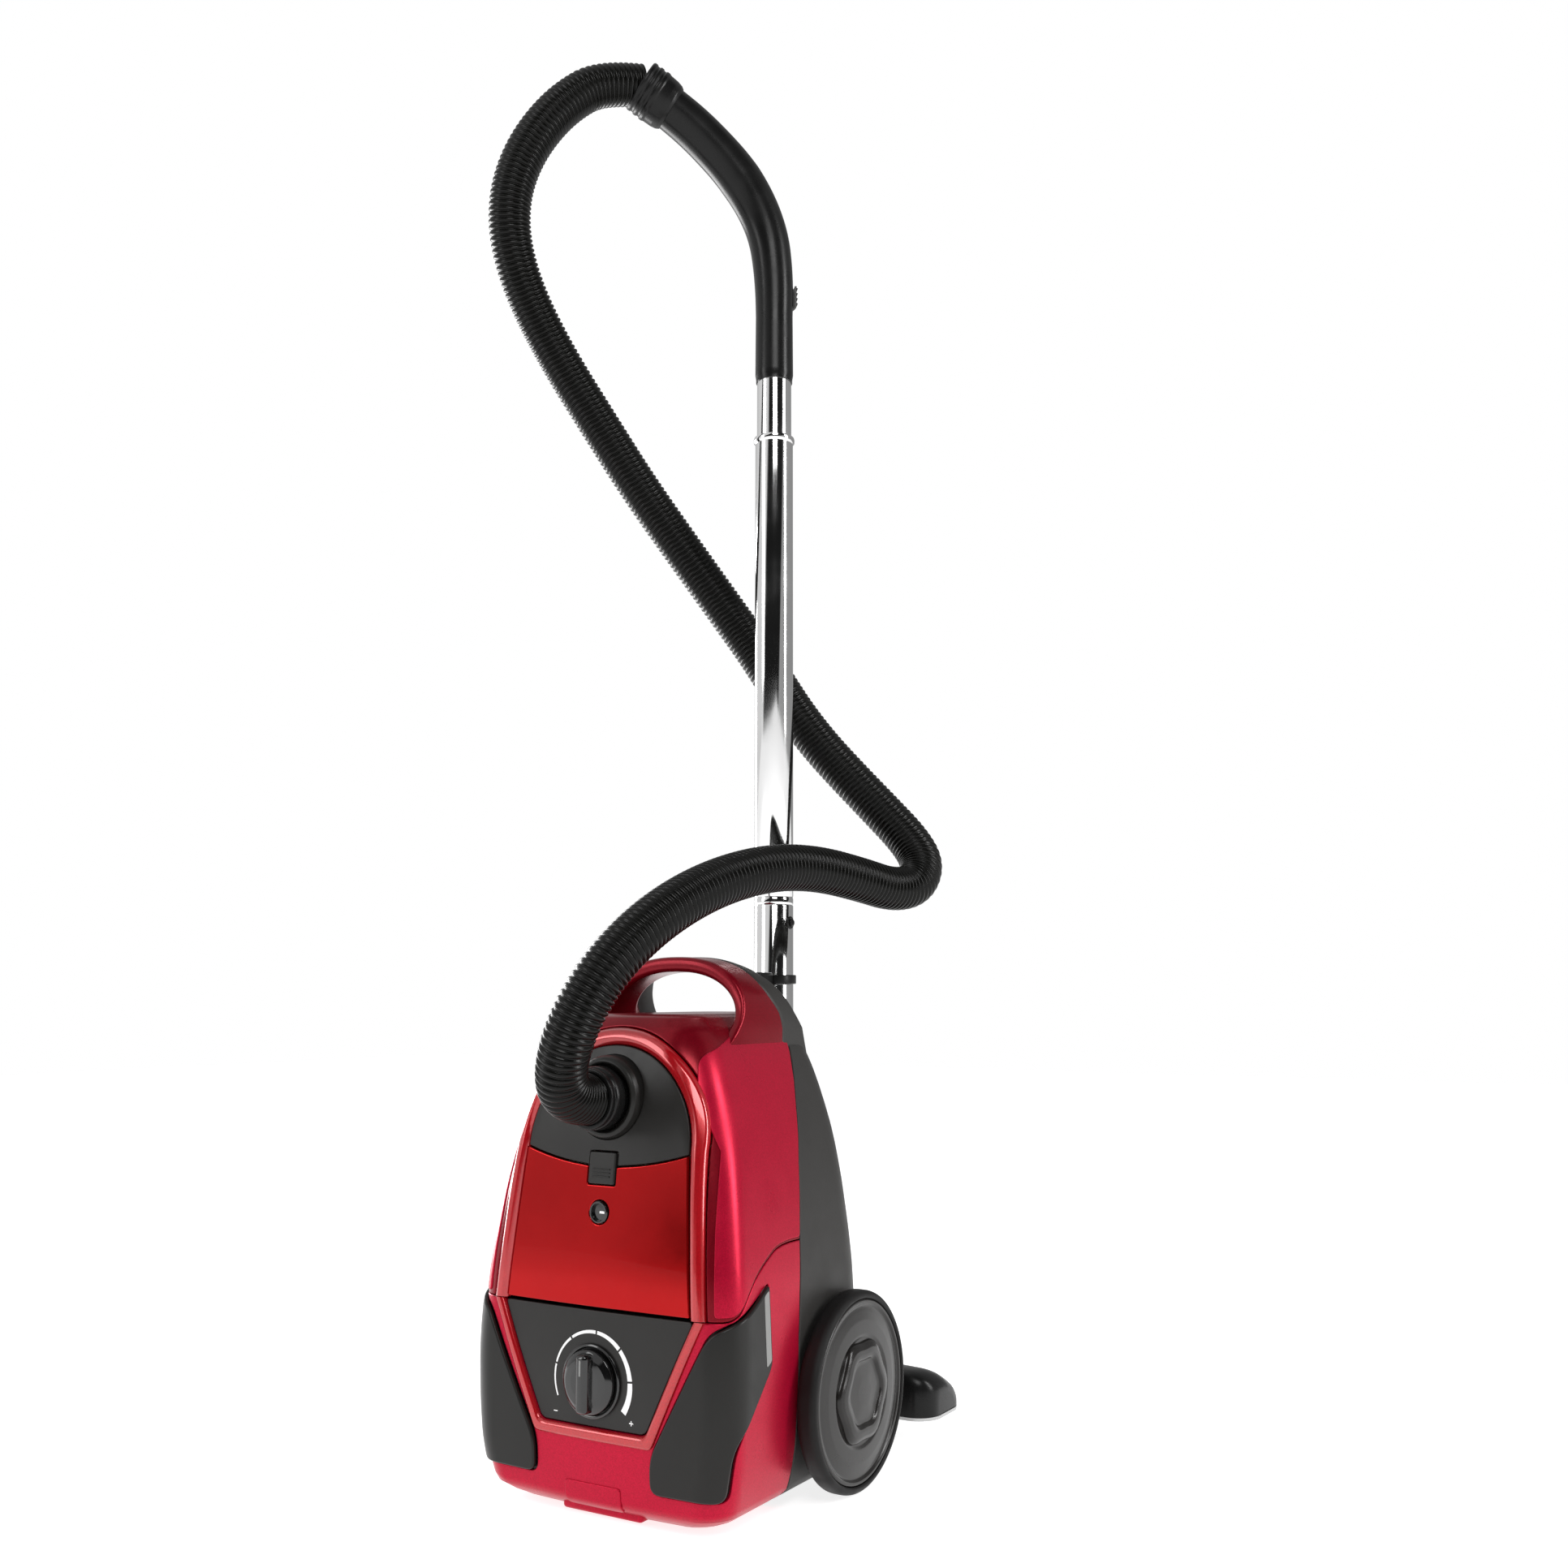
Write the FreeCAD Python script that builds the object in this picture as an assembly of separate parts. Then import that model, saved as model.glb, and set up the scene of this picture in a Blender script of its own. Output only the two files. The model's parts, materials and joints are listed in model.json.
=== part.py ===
import FreeCAD, Part
import math
import os

# Canister vacuum cleaner standing upright on its rear end, wand parked behind it.
# Millimetres, +Z up. The front panel faces -Y, the underside of the canister faces +Y.

# ---- driving dimensions: canister ----
WALL = 3.0
FLOOR_Z = -8.0           # floor under the feet and the big wheels
SEAM_FRONT_Z = 140.0     # seam between upper and lower red shells, at the front
# the same seam on the side, as (y, z), running back to the grey rear shell
SEAM_SIDE = [(-98, 140), (-70, 168), (-42, 182), (-25, 184)]
# side line where the red front shells end and the grey rear shell begins, as (y, z)
SPLIT_LINE = [
    (-17, -60), (-18, 60), (-17, 113), (-12, 150), (-6, 184), (8, 240),
    (22, 279), (40, 322), (54, 352), (62, 380), (66, 420),
]
FRONT_BULGE = 3.0        # how far the front face bows forward at its middle
# level: z, half width, front y, back y, front corner radius, back corner radius
BODY_LEVELS = [
    (-4, 90, -94, 76, 22, 28),
    (8, 107, -108, 90, 23, 34),
    (50, 115, -111, 96, 22, 37),
    (100, 117, -112, 98, 22, 38),
    (150, 115, -110, 98, 22, 38),
    (200, 109, -106, 97, 24, 37),
    (250, 100, -101, 95, 28, 36),
    (290, 88, -96, 92, 30, 34),
    (320, 76, -90, 88, 30, 32),
    (340, 63, -82, 82, 28, 28),
    (352, 49, -70, 72, 24, 24),
]
FRONT_CUT_Y = -60.0      # front openings are cut through everything ahead of this
FAR = 200.0              # beyond the body on any side

# ---- carry handle ----
ARCH_CENTRE_Z = 340.0    # above this the arch is an oval, squarer than an ellipse
ARCH_FOOT_Z = 318.0
ARCH_HALF_WIDTH = 72.0
ARCH_HEIGHT = 57.0
ARCH_POWER = 2.4
ARCH_FRONT_Y = -22.0
ARCH_BACK_Y = 18.0
HANDLE_HOLE_HALF = 63.0
HANDLE_HOLE_RISE = 45.0
HANDLE_HOLE_POWER = 2.3
HANDLE_HOLE_LOW_Z = 353.0

# ---- rear and bottom fittings ----
BUSH_RADIUS = 7.0
BUSH_Y = -80.0
GRILLE_HALF = 58.0
GRILLE_LOW_Z = 44.0
GRILLE_HIGH_Z = 106.0
SCREW_RADIUS = 3.0
SCREW_PLACES = [(-72, 135), (72, 135), (-60, 250), (60, 250)]

# ---- inside ----
MOTOR_X = -48.0
MOTOR_Y = 10.0
REEL_X = 48.0
REEL_Y = 14.0

# ---- front trim ----
RIM_CENTRE_Z = 255.0     # the rim is a half circle on two slightly spreading legs
RIM_OUTER_RADIUS = 88.0
RIM_BAND = 13.0
RIM_FOOT_SPREAD = 9.0
RIM_PROUD = 3.2
LID_BOTTOM_Z = 141.5
LID_TOP_Z = 252.0
LID_TOP_MIDDLE_Z = 241.0
LID_PROUD = 1.0
LID_SINK = 2.0
LID_GAP = 1.2
HINGE_Y = -110.2
HINGE_Z = 144.5
HINGE_PIN_RADIUS = 1.0
HINGE_KNUCKLE_RADIUS = 2.4
HINGE_HALF = 73.5
HINGE_LUG_TOP_Z = 148.0
LATCH_HALF = 12.0
LATCH_LOW_Z = 228.0
LATCH_HIGH_Z = 251.0
WINDOW_Z = 208.0
WINDOW_RADIUS = 8.5

# ---- control panel, knob and pedals ----
PANEL_TOP_Z = 139.0
PANEL_LOW_Z = 58.0
PANEL_TOP_HALF = 86.0
PANEL_LOW_HALF = 47.0
PANEL_BAND = 11.0
KNOB_Z = 90.0
KNOB_RADIUS = 22.5
KNOB_BACK_Y = -115.6
KNOB_FRONT_Y = -129.0
KNOB_SHAFT_RADIUS = 4.0
PEDAL_PROUD = 3.4
PEDAL_GAP = 0.4
PEDAL_TRAVEL = 2.0
PEDAL_STEM_X = 76.0
PEDAL_STEM_Z = 46.0
RUNNING = 0.06           # radial clearance of a running fit

# ---- hose inlet ----
INLET_Z = 291.0
SOCKET_RADIUS = 31.0
SOCKET_FRONT_Y = -108.0
SOCKET_BACK_Y = -84.0
SLEEVE_RADIUS = 21.0
CUFF_RADIUS = 23.5
CUFF_FRONT_Y = -125.0
HOSE_RADIUS = 19.0
HOSE_WALL = 2.0
CUFF_BORE = 16.0

# ---- wheels ----
WHEEL_Y = 46.0
WHEEL_RADIUS = 74.0
WHEEL_Z = FLOOR_Z + WHEEL_RADIUS
WHEEL_IN_X = 118.5
WHEEL_OUT_X = 135.0
TYRE_THICK = 6.0
AXLE_RADIUS = 4.0
AXLE_IN_X = 106.5
CAP_OUT_X = 139.0
CASTER_Z = 300.0
CASTER_TRAIL = 8.0
CASTER_RADIUS = 10.0
CASTER_PLATE_Y = 92.6
CASTER_WHEEL_Y = 105.5

# ---- wand ----
WAND_Y = 138.0
TUBE_RADIUS = 17.5
TUBE_WALL = 1.0
NECK_SEAT_Z = 84.0
NOZZLE_LIFT = 13.0       # the parked nozzle hangs this much above its own low position
LOWER_TUBE_LOW_Z = NECK_SEAT_Z + NOZZLE_LIFT
TUBE_JOINT_Z = 446.0
UPPER_TUBE_TOP_Z = 881.0
SWAGE_LENGTH = 45.0
STUB_RADIUS = 16.0
GRIP_LOW_Z = 935.0
GRIP_RADIUS = 19.0
GRIP_AWAY = (-0.593, -0.805)   # horizontal direction in which the grip bends over
# grip centreline: distance out from the wand axis, height
GRIP_ROUTE = [(0, 935), (0, 1078), (60, 1160), (134, 1203)]
BUTTON_Z = 430.0
BUTTON_RADIUS = 3.4
BUTTON_TRAVEL = 4.5
SLIDER_LOW_Z = 1012.0
SLIDER_HIGH_Z = 1032.0
CLIP_Z = 380.0
TONGUE_FRONT_Y = 98.0
TONGUE_BACK_Y = 106.0

# ---- floor nozzle ----
NOZZLE_HALF = 135.0
NOZZLE_REAR_Y = 165.0
NOZZLE_FRONT_Y = 236.0
NOZZLE_LOW_Z = 4.0
PIVOT_Z = 40.0
HUB_HALF = 24.0
PIN_RADIUS = 4.0
ROCKER_Y = 184.0
ROCKER_Z = 41.0
SOLE_LOW_Z = 1.5
BRUSH_Y = 219.0
ROLLER_Y = 176.0
ROLLER_Z = 7.0

# ---- hose route: from the inlet cuff round the wand to the grip ----
HOSE_ROUTE = [
    (0, -125, 291), (2, -145, 292), (8, -167, 304), (20, -179, 328), (34, -178, 358),
    (47, -164, 389), (58, -134, 417), (66, -92, 440), (73, -44, 457), (80, 10, 468),
    (89, 62, 470), (100, 114, 464), (109, 157, 457), (117, 186, 462), (117, 204, 482),
    (101, 209, 505), (74, 205, 534), (46, 197, 565), (19, 190, 596), (-4, 183, 628),
    (-24, 176, 662), (-41, 167, 692), (-59, 154, 723), (-90, 122, 782), (-120, 89, 841),
    (-147, 59, 901), (-169, 25, 957), (-179, -9, 1006), (-177, -34, 1045), (-170, -45, 1079),
    (-159, -46, 1110), (-144, -39, 1141), (-125, -23, 1173), (-102, 0, 1198),
]
ARC_SHARE = 0.45         # share of the shorter run that a corner's arc may use
END_PLUG = 12.0          # the hose runs on this far into its end fittings before it is trimmed

NOZZLE_NODES = [
    "nozzle_neck", "nozzle_body", "sole_plate", "nozzle_pivot_pin", "nozzle_rocker",
    "brush_strip", "nozzle_rollers",
]

V = FreeCAD.Vector
X_AXIS = V(1, 0, 0)
Y_AXIS = V(0, 1, 0)
Z_AXIS = V(0, 0, 1)


# ---- shape helpers ----
def box(x0, x1, y0, y1, z0, z1):
    return Part.makeBox(x1 - x0, y1 - y0, z1 - z0, V(x0, y0, z0))


def cyl_x(radius, x0, x1, y, z):
    return Part.makeCylinder(radius, x1 - x0, V(x0, y, z), X_AXIS)


def cyl_y(radius, y0, y1, x, z):
    return Part.makeCylinder(radius, y1 - y0, V(x, y0, z), Y_AXIS)


def cyl_z(radius, z0, z1, x, y):
    return Part.makeCylinder(radius, z1 - z0, V(x, y, z0), Z_AXIS)


def fuse(first, *others):
    return first.fuse(list(others)).removeSplitter()


def group(solids):
    return Part.makeCompound(solids)


def both_sides(make):
    """The same piece on the right (+1) and on the left (-1)."""
    return [make(1), make(-1)]


def mirrored(shape):
    return shape.mirror(V(0, 0, 0), X_AXIS)


def prism_y(outline, y0, y1):
    """Solid whose outline is given in X and Z, running from y0 to y1."""
    points = [V(x, y0, z) for x, z in outline]
    face = Part.Face(Part.makePolygon(points + points[:1]))
    return face.extrude(V(0, y1 - y0, 0))


def prism_x(outline, x0, x1):
    """Solid whose outline is given in Y and Z, running from x0 to x1."""
    points = [V(x0, y, z) for y, z in outline]
    face = Part.Face(Part.makePolygon(points + points[:1]))
    return face.extrude(V(x1 - x0, 0, 0))


def routed_wire(points):
    """Straight runs joined by tangent arcs, and the list of the arcs' radii."""
    edges = []
    radii = []
    here = points[0]
    for before, corner, after in zip(points, points[1:], points[2:]):
        way_in = (corner - before).normalize()
        way_out = (after - corner).normalize()
        half_turn = way_in.getAngle(way_out) / 2
        trim = ARC_SHARE * min(before.distanceToPoint(corner), corner.distanceToPoint(after))
        radius = trim / math.tan(half_turn)
        start = corner - way_in * trim
        end = corner + way_out * trim
        inward = (way_out - way_in).normalize()
        middle = corner + inward * (radius / math.cos(half_turn) - radius)
        edges.append(Part.LineSegment(here, start).toShape())
        edges.append(Part.Arc(start, middle, end).toShape())
        radii.append(radius)
        here = end
    edges.append(Part.LineSegment(here, points[-1]).toShape())
    return Part.Wire(edges), radii


def tube_along(points, radius):
    """Round solid along a routed wire."""
    path, radii = routed_wire(points)
    start = (points[1] - points[0]).normalize()
    ring = Part.Wire(Part.makeCircle(radius, points[0], start))
    return path.makePipeShell([ring], True, False), path.Length, radii


# ---- the canister's outer form ----
def body_section(level, grow, rise):
    z, half, front, back, front_round, back_round = level
    half, front, back = half + grow, front - grow, back + grow
    front_round, back_round = front_round + grow / 2, back_round + grow / 2
    z = z + rise

    def corner(side, edge, radius, inward):
        """Three points of a corner arc, from the front or back edge round to the side."""
        inset = radius * (1 - math.sqrt(0.5))
        return (
            V(side * (half - radius), edge, z),
            V(side * (half - inset), edge + inward * inset, z),
            V(side * half, edge + inward * radius, z),
        )

    corners = [
        corner(1, front, front_round, 1),
        corner(1, back, back_round, -1)[::-1],
        corner(-1, back, back_round, -1),
        corner(-1, front, front_round, 1)[::-1],
    ]
    edges = []
    for index, points in enumerate(corners):
        edges.append(Part.Arc(*points).toShape())
        start, end = points[2], corners[(index + 1) % 4][0]
        if index < 3:
            edges.append(Part.LineSegment(start, end).toShape())
        else:
            edges.append(Part.Arc(start, V(0, front - FRONT_BULGE, z), end).toShape())
    return Part.Wire(edges)


def body(grow=0.0):
    """The canister's outer form, moved outward by grow."""
    last = len(BODY_LEVELS) - 1
    wires = []
    for index, level in enumerate(BODY_LEVELS):
        rise = -grow if index == 0 else grow if index == last else 0
        wires.append(body_section(level, grow, rise))
    return Part.makeLoft(wires, True, True)


def skin(outside, inside):
    """Layer of the outer form between two offsets."""
    return body(outside).cut(body(inside))


# ---- outlines on the front face, X and Z ----
def rim_outline(shrink):
    radius = RIM_OUTER_RADIUS - shrink
    steps = 24
    arch = []
    for step in range(steps + 1):
        angle = math.pi * step / steps
        arch.append((radius * math.cos(angle), RIM_CENTRE_Z + radius * math.sin(angle)))
    foot = radius + RIM_FOOT_SPREAD
    return [(foot, SEAM_FRONT_Z)] + arch + [(-foot, SEAM_FRONT_Z)]


def opening_half(z):
    """Half width inside the rim's legs at height z, less the gap."""
    rise = (z - SEAM_FRONT_Z) / (RIM_CENTRE_Z - SEAM_FRONT_Z)
    return RIM_OUTER_RADIUS - RIM_BAND + RIM_FOOT_SPREAD * (1 - rise) - LID_GAP


def lid_top_edge(lift):
    """Dipping line between the lid and the inlet panel, from right to left."""
    steps = 8
    points = []
    for step in range(steps + 1):
        share = 1 - 2 * step / steps
        z = LID_TOP_MIDDLE_Z + (LID_TOP_Z - LID_TOP_MIDDLE_Z) * share * share + lift
        points.append((opening_half(LID_TOP_Z) * share, z))
    return points


def panel_outline(grow):
    return [
        (-PANEL_TOP_HALF - grow, PANEL_TOP_Z),
        (PANEL_TOP_HALF + grow, PANEL_TOP_Z),
        (PANEL_LOW_HALF + grow * 0.6, PANEL_LOW_Z - grow),
        (-PANEL_LOW_HALF - grow * 0.6, PANEL_LOW_Z - grow),
    ]


def pedal_front_outline(grow):
    return [
        (52 - grow, 20 - grow), (FAR, 20 - grow), (FAR, 132 + grow),
        (100 - grow, 132 + grow), (52 - grow, 44 + grow / 2),
    ]


def pedal_side_outline(grow):
    return [
        (-FAR, 20 - grow), (-101 + grow, 20 - grow), (-101 + grow, 56 - grow),
        (-59 + grow, 104 - grow), (-59 + grow, 160 + grow), (-112, 128 + grow), (-FAR, 128 + grow),
    ]


def pedal_region(grow):
    """Right-hand pedal area: the front outline up to the corner, then the side."""
    front = prism_y(pedal_front_outline(grow), -FAR, -74)
    side = prism_x(pedal_side_outline(grow), 50, FAR)
    return front.common(side)


def pedal_side_region():
    outline = [(-82, 78), (-59, 104), (-59, 160), (-82, 146)]
    return prism_x(outline, 90, FAR)


def seam_solid():
    """Everything above the seam between the two red shells."""
    side_z = SEAM_SIDE[-1][1]
    outline = [(-FAR, SEAM_FRONT_Z), *SEAM_SIDE, (FAR, side_z), (FAR, 500), (-FAR, 500)]
    return prism_x(outline, -FAR, FAR)


def front_solid():
    """Everything in front of the line where the grey rear shell begins."""
    outline = SPLIT_LINE + [(-FAR, SPLIT_LINE[-1][1]), (-FAR, SPLIT_LINE[0][1])]
    return prism_x(outline, -FAR, FAR)


# ---- shells ----
def oval_points(half, rise, power):
    """Upper half of an oval on the handle's centre height, from right to left."""
    steps = 48
    points = []
    for step in range(steps + 1):
        angle = math.pi * step / steps
        across = math.copysign(abs(math.cos(angle)) ** (2 / power), math.cos(angle))
        points.append((half * across, ARCH_CENTRE_Z + rise * abs(math.sin(angle)) ** (2 / power)))
    return points


def handle_hole():
    """Finger opening, down to just above the top of the body."""
    hole = prism_y(oval_points(HANDLE_HOLE_HALF, HANDLE_HOLE_RISE, HANDLE_HOLE_POWER), -FAR, FAR)
    return hole.cut(box(-FAR, FAR, -FAR, FAR, 0, HANDLE_HOLE_LOW_Z))


def arch():
    """Carry handle: an oval arch over the top of the body, on two upright feet."""
    outline = oval_points(ARCH_HALF_WIDTH, ARCH_HEIGHT, ARCH_POWER)
    outline += [(-ARCH_HALF_WIDTH, ARCH_FOOT_Z), (ARCH_HALF_WIDTH, ARCH_FOOT_Z)]
    solid = prism_y(outline, ARCH_FRONT_Y, ARCH_BACK_Y)
    return solid.cut(handle_hole()).cut(body(-WALL))


def case():
    return fuse(body(), arch()).cut(body(-WALL))


def upper_housing():
    red = case().common(front_solid()).common(seam_solid())
    return red.cut(prism_y(rim_outline(0), -FAR, FRONT_CUT_Y))


def lower_housing():
    red = case().common(front_solid()).cut(seam_solid())
    band = prism_y(panel_outline(PANEL_BAND), -FAR, FRONT_CUT_Y)
    band = band.common(body(2.4).cut(body(-WALL))).cut(seam_solid())
    red = fuse(red, band.common(box(-FAR, FAR, -FAR, -90, 0, PANEL_TOP_Z + 1)))
    red = red.cut(prism_y(panel_outline(0.5), -FAR, FRONT_CUT_Y))
    sill = PANEL_TOP_HALF
    red = red.cut(box(-sill, sill, -FAR, FRONT_CUT_Y, PANEL_TOP_Z - 1, SEAM_FRONT_Z + 1))
    pocket = pedal_region(0.9).fuse(pedal_side_region())
    pushed = pocket.copy()
    pushed.translate(V(0, PEDAL_TRAVEL + 0.4, 0))
    pocket = pocket.fuse(pushed).cut(body(-WALL - 1))
    red = red.cut(pocket.fuse(mirrored(pocket)))
    return red.cut(cyl_z(BUSH_RADIUS, FLOOR_Z, 20, 0, BUSH_Y))


def base_shell():
    grey = case().cut(front_solid())
    boss = cyl_y(9, 80, 94, 0, CASTER_Z).common(body())
    grey = fuse(grey, boss)
    grey = grey.cut(cyl_y(5 + RUNNING, 60, 100, 0, CASTER_Z))
    grey = grey.cut(cyl_x(AXLE_RADIUS, -FAR, FAR, WHEEL_Y, WHEEL_Z))
    grey = grey.cut(box(-GRILLE_HALF, GRILLE_HALF, 75, FAR, GRILLE_LOW_Z, GRILLE_HIGH_Z))
    for x, z in SCREW_PLACES:
        grey = grey.cut(cyl_y(SCREW_RADIUS, 70, 100, x, z))
    return grey


# ---- front trim ----
def front_rim():
    band = prism_y(rim_outline(0), -FAR, FRONT_CUT_Y)
    band = band.cut(prism_y(rim_outline(RIM_BAND), -FAR, FRONT_CUT_Y))
    rim = band.common(skin(RIM_PROUD, -WALL))

    def lug(side):
        low, high = sorted((side * (HINGE_HALF + 0.8), side * (RIM_OUTER_RADIUS - 3)))
        return box(low, high, HINGE_Y - 2, HINGE_Y + 2.6, LID_BOTTOM_Z, HINGE_LUG_TOP_Z - 0.6)

    rim = fuse(rim, *both_sides(lug))
    return rim.cut(cyl_x(HINGE_PIN_RADIUS, -80, 80, HINGE_Y, HINGE_Z))


def lid_hinge_pin():
    return cyl_x(HINGE_PIN_RADIUS, -80, 80, HINGE_Y, HINGE_Z)


def lid_outline():
    foot = opening_half(LID_BOTTOM_Z)
    return [(-foot, LID_BOTTOM_Z), (foot, LID_BOTTOM_Z)] + lid_top_edge(-0.5)


def lid_panel():
    lid = prism_y(lid_outline(), -FAR, FRONT_CUT_Y).common(skin(LID_PROUD, -LID_SINK))
    for side in (1, -1):
        low, high = sorted((side * HINGE_HALF, side * FAR))
        lid = lid.cut(box(low, high, -FAR, FAR, 0, HINGE_LUG_TOP_Z))
    lid = fuse(lid, cyl_x(HINGE_KNUCKLE_RADIUS, -HINGE_HALF, HINGE_HALF, HINGE_Y, HINGE_Z))
    lid = lid.cut(cyl_x(HINGE_PIN_RADIUS + RUNNING, -80, 80, HINGE_Y, HINGE_Z))
    notch = box(-LATCH_HALF - 0.8, LATCH_HALF + 0.8, -FAR, FAR, LATCH_LOW_Z - 0.8, 400)
    lid = lid.cut(notch)
    return lid.cut(cyl_y(WINDOW_RADIUS, -FAR, 0, 0, WINDOW_Z))


def bag_full_window():
    return cyl_y(WINDOW_RADIUS, -FAR, 0, 0, WINDOW_Z).common(skin(LID_PROUD + 0.6, -LID_SINK))


def lid_seal():
    outer = prism_y([(-74, 152), (74, 152), (68, 226), (-68, 226)], -FAR, FRONT_CUT_Y)
    inner = prism_y([(-68, 158), (68, 158), (62, 220), (-62, 220)], -FAR, FRONT_CUT_Y)
    return outer.cut(inner).common(skin(-3.2, -5.5))


def inlet_panel():
    radius = RIM_OUTER_RADIUS - RIM_BAND
    edge = [point for point in rim_outline(RIM_BAND) if point[1] > RIM_CENTRE_Z + 0.1]
    outline = [(radius * 0.99, LID_TOP_Z + 0.5)] + edge + [(-radius * 0.99, LID_TOP_Z + 0.5)]
    panel = prism_y(outline + lid_top_edge(0.5)[::-1][1:-1], -FAR, FRONT_CUT_Y)
    panel = panel.common(skin(0, -WALL))
    panel = panel.cut(cyl_y(SOCKET_RADIUS, -FAR, 0, 0, INLET_Z))
    return panel.cut(box(-LATCH_HALF - 0.8, LATCH_HALF + 0.8, -FAR, 0, 200, LATCH_HIGH_Z + 0.8))


def inlet_socket():
    socket = cyl_y(SOCKET_RADIUS, SOCKET_FRONT_Y, SOCKET_BACK_Y, 0, INLET_Z)
    edge = [e for e in socket.Edges if abs(e.CenterOfMass.y - SOCKET_FRONT_Y) < 0.01 and e.Closed]
    socket = socket.makeFillet(4.0, edge)
    return socket.cut(cyl_y(SLEEVE_RADIUS + RUNNING, -FAR, 0, 0, INLET_Z))


def lid_latch():
    tab = box(-LATCH_HALF, LATCH_HALF, -FAR, FRONT_CUT_Y, LATCH_LOW_Z, LATCH_HIGH_Z)
    tab = tab.common(skin(LID_PROUD + 0.5, -LID_SINK))
    stem = cyl_y(4, -104, -92, 0, (LATCH_LOW_Z + LATCH_HIGH_Z) / 2)
    return fuse(tab, stem)


def coil_stack(radius, y0, y1, x, z):
    """Plain sleeve standing for a small coil spring lying along Y."""
    return cyl_y(radius, y0, y1, x, z).cut(cyl_y(radius - 1.2, y0, y1, x, z))


def latch_spring():
    return coil_stack(4, -92, -80, 0, (LATCH_LOW_Z + LATCH_HIGH_Z) / 2)


# ---- controls ----
def control_panel():
    panel = prism_y(panel_outline(0), -FAR, FRONT_CUT_Y).common(skin(-0.6, -WALL))
    return panel.cut(cyl_y(KNOB_SHAFT_RADIUS + RUNNING, -FAR, 0, 0, KNOB_Z))


def power_knob():
    disc = cyl_y(KNOB_RADIUS, KNOB_FRONT_Y + 7, KNOB_BACK_Y, 0, KNOB_Z)
    grip = box(-5, 5, KNOB_FRONT_Y, KNOB_BACK_Y, KNOB_Z - 20, KNOB_Z + 20)
    shaft = cyl_y(KNOB_SHAFT_RADIUS, KNOB_BACK_Y, -99, 0, KNOB_Z)
    return fuse(disc, grip, shaft)


def potentiometer():
    return box(-12, 12, -98.5, -88, KNOB_Z - 12, KNOB_Z + 12)


def circuit_board():
    return box(-38, 38, -88, -86.4, 62, 118)


def pedal_right():
    cover = pedal_region(0).fuse(pedal_side_region())
    cover = cover.common(body(PEDAL_PROUD).cut(body(PEDAL_GAP)))
    stem = cyl_y(4, -112, -98, PEDAL_STEM_X, PEDAL_STEM_Z)
    return fuse(cover, stem.cut(body(PEDAL_PROUD).cut(body(PEDAL_GAP))))


def pedal_spring():
    return coil_stack(4, -98, -86, PEDAL_STEM_X, PEDAL_STEM_Z)


# ---- inside the canister ----
def partition_wall():
    wall = body(-WALL - 0.3).common(box(-FAR, FAR, -FAR, FAR, 126, 130))
    wall = wall.cut(box(-FAR, FAR, -FAR, -84, 0, 400))
    return wall.cut(cyl_z(20, 100, 200, MOTOR_X, MOTOR_Y))


def pre_motor_filter():
    return box(MOTOR_X - 34, MOTOR_X + 34, MOTOR_Y - 30, MOTOR_Y + 30, 130, 137)


def motor_housing():
    outer = cyl_z(44, 26, 124, MOTOR_X, MOTOR_Y)
    hollow = cyl_z(41, 29, 121, MOTOR_X, MOTOR_Y)
    bearing = cyl_z(10, 29, 36, MOTOR_X, MOTOR_Y)
    motor = fuse(outer.cut(hollow), bearing)
    motor = motor.cut(cyl_z(20, 110, 130, MOTOR_X, MOTOR_Y))
    return motor.cut(cyl_z(4 + RUNNING, 20, 60, MOTOR_X, MOTOR_Y))


def fan_rotor():
    shaft = cyl_z(4, 29, 112, MOTOR_X, MOTOR_Y)
    armature = cyl_z(24, 44, 84, MOTOR_X, MOTOR_Y)
    fan = cyl_z(37, 96, 112, MOTOR_X, MOTOR_Y)
    return fuse(shaft, armature, fan)


def reel_frame():
    plate = box(REEL_X - 44, REEL_X + 44, REEL_Y - 44, REEL_Y + 44, 36, 40)
    return fuse(plate, cyl_z(5, 40, 112, REEL_X, REEL_Y))


def cord_reel():
    low = cyl_z(42, 42, 45, REEL_X, REEL_Y)
    core = cyl_z(18, 45, 103, REEL_X, REEL_Y)
    high = cyl_z(42, 103, 106, REEL_X, REEL_Y)
    return fuse(low, core, high).cut(cyl_z(5 + RUNNING, 40, 110, REEL_X, REEL_Y))


def dust_bag():
    bag = box(-68, 68, -72, 50, 146, 300)
    return bag.makeFillet(20, bag.Edges)


def bag_collar():
    plate = box(-34, 34, -80, -76, 255, 322)
    return plate.cut(cyl_y(22, -90, -70, 0, INLET_Z))


def exhaust_grille():
    area = box(-GRILLE_HALF, GRILLE_HALF, 75, FAR, GRILLE_LOW_Z, GRILLE_HIGH_Z)
    grille = area.common(skin(0, -WALL))
    slot_count = 9
    pitch = (GRILLE_HIGH_Z - GRILLE_LOW_Z) / (slot_count + 1)
    for index in range(slot_count):
        z = GRILLE_LOW_Z + pitch * (index + 1)
        grille = grille.cut(box(6 - GRILLE_HALF, GRILLE_HALF - 6, 60, FAR, z - 1.5, z + 1.5))
    return grille


def exhaust_filter():
    return box(-GRILLE_HALF, GRILLE_HALF, 64, 76, GRILLE_LOW_Z, GRILLE_HIGH_Z)


def cord_outlet_bush():
    low = BODY_LEVELS[0][0]
    flange = cyl_z(BUSH_RADIUS + 2, low - 2.5, low, 0, BUSH_Y)
    bush = fuse(cyl_z(BUSH_RADIUS, low - 2.5, low + 5, 0, BUSH_Y), flange)
    return bush.cut(cyl_z(3.6, FLOOR_Z, 20, 0, BUSH_Y))


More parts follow.
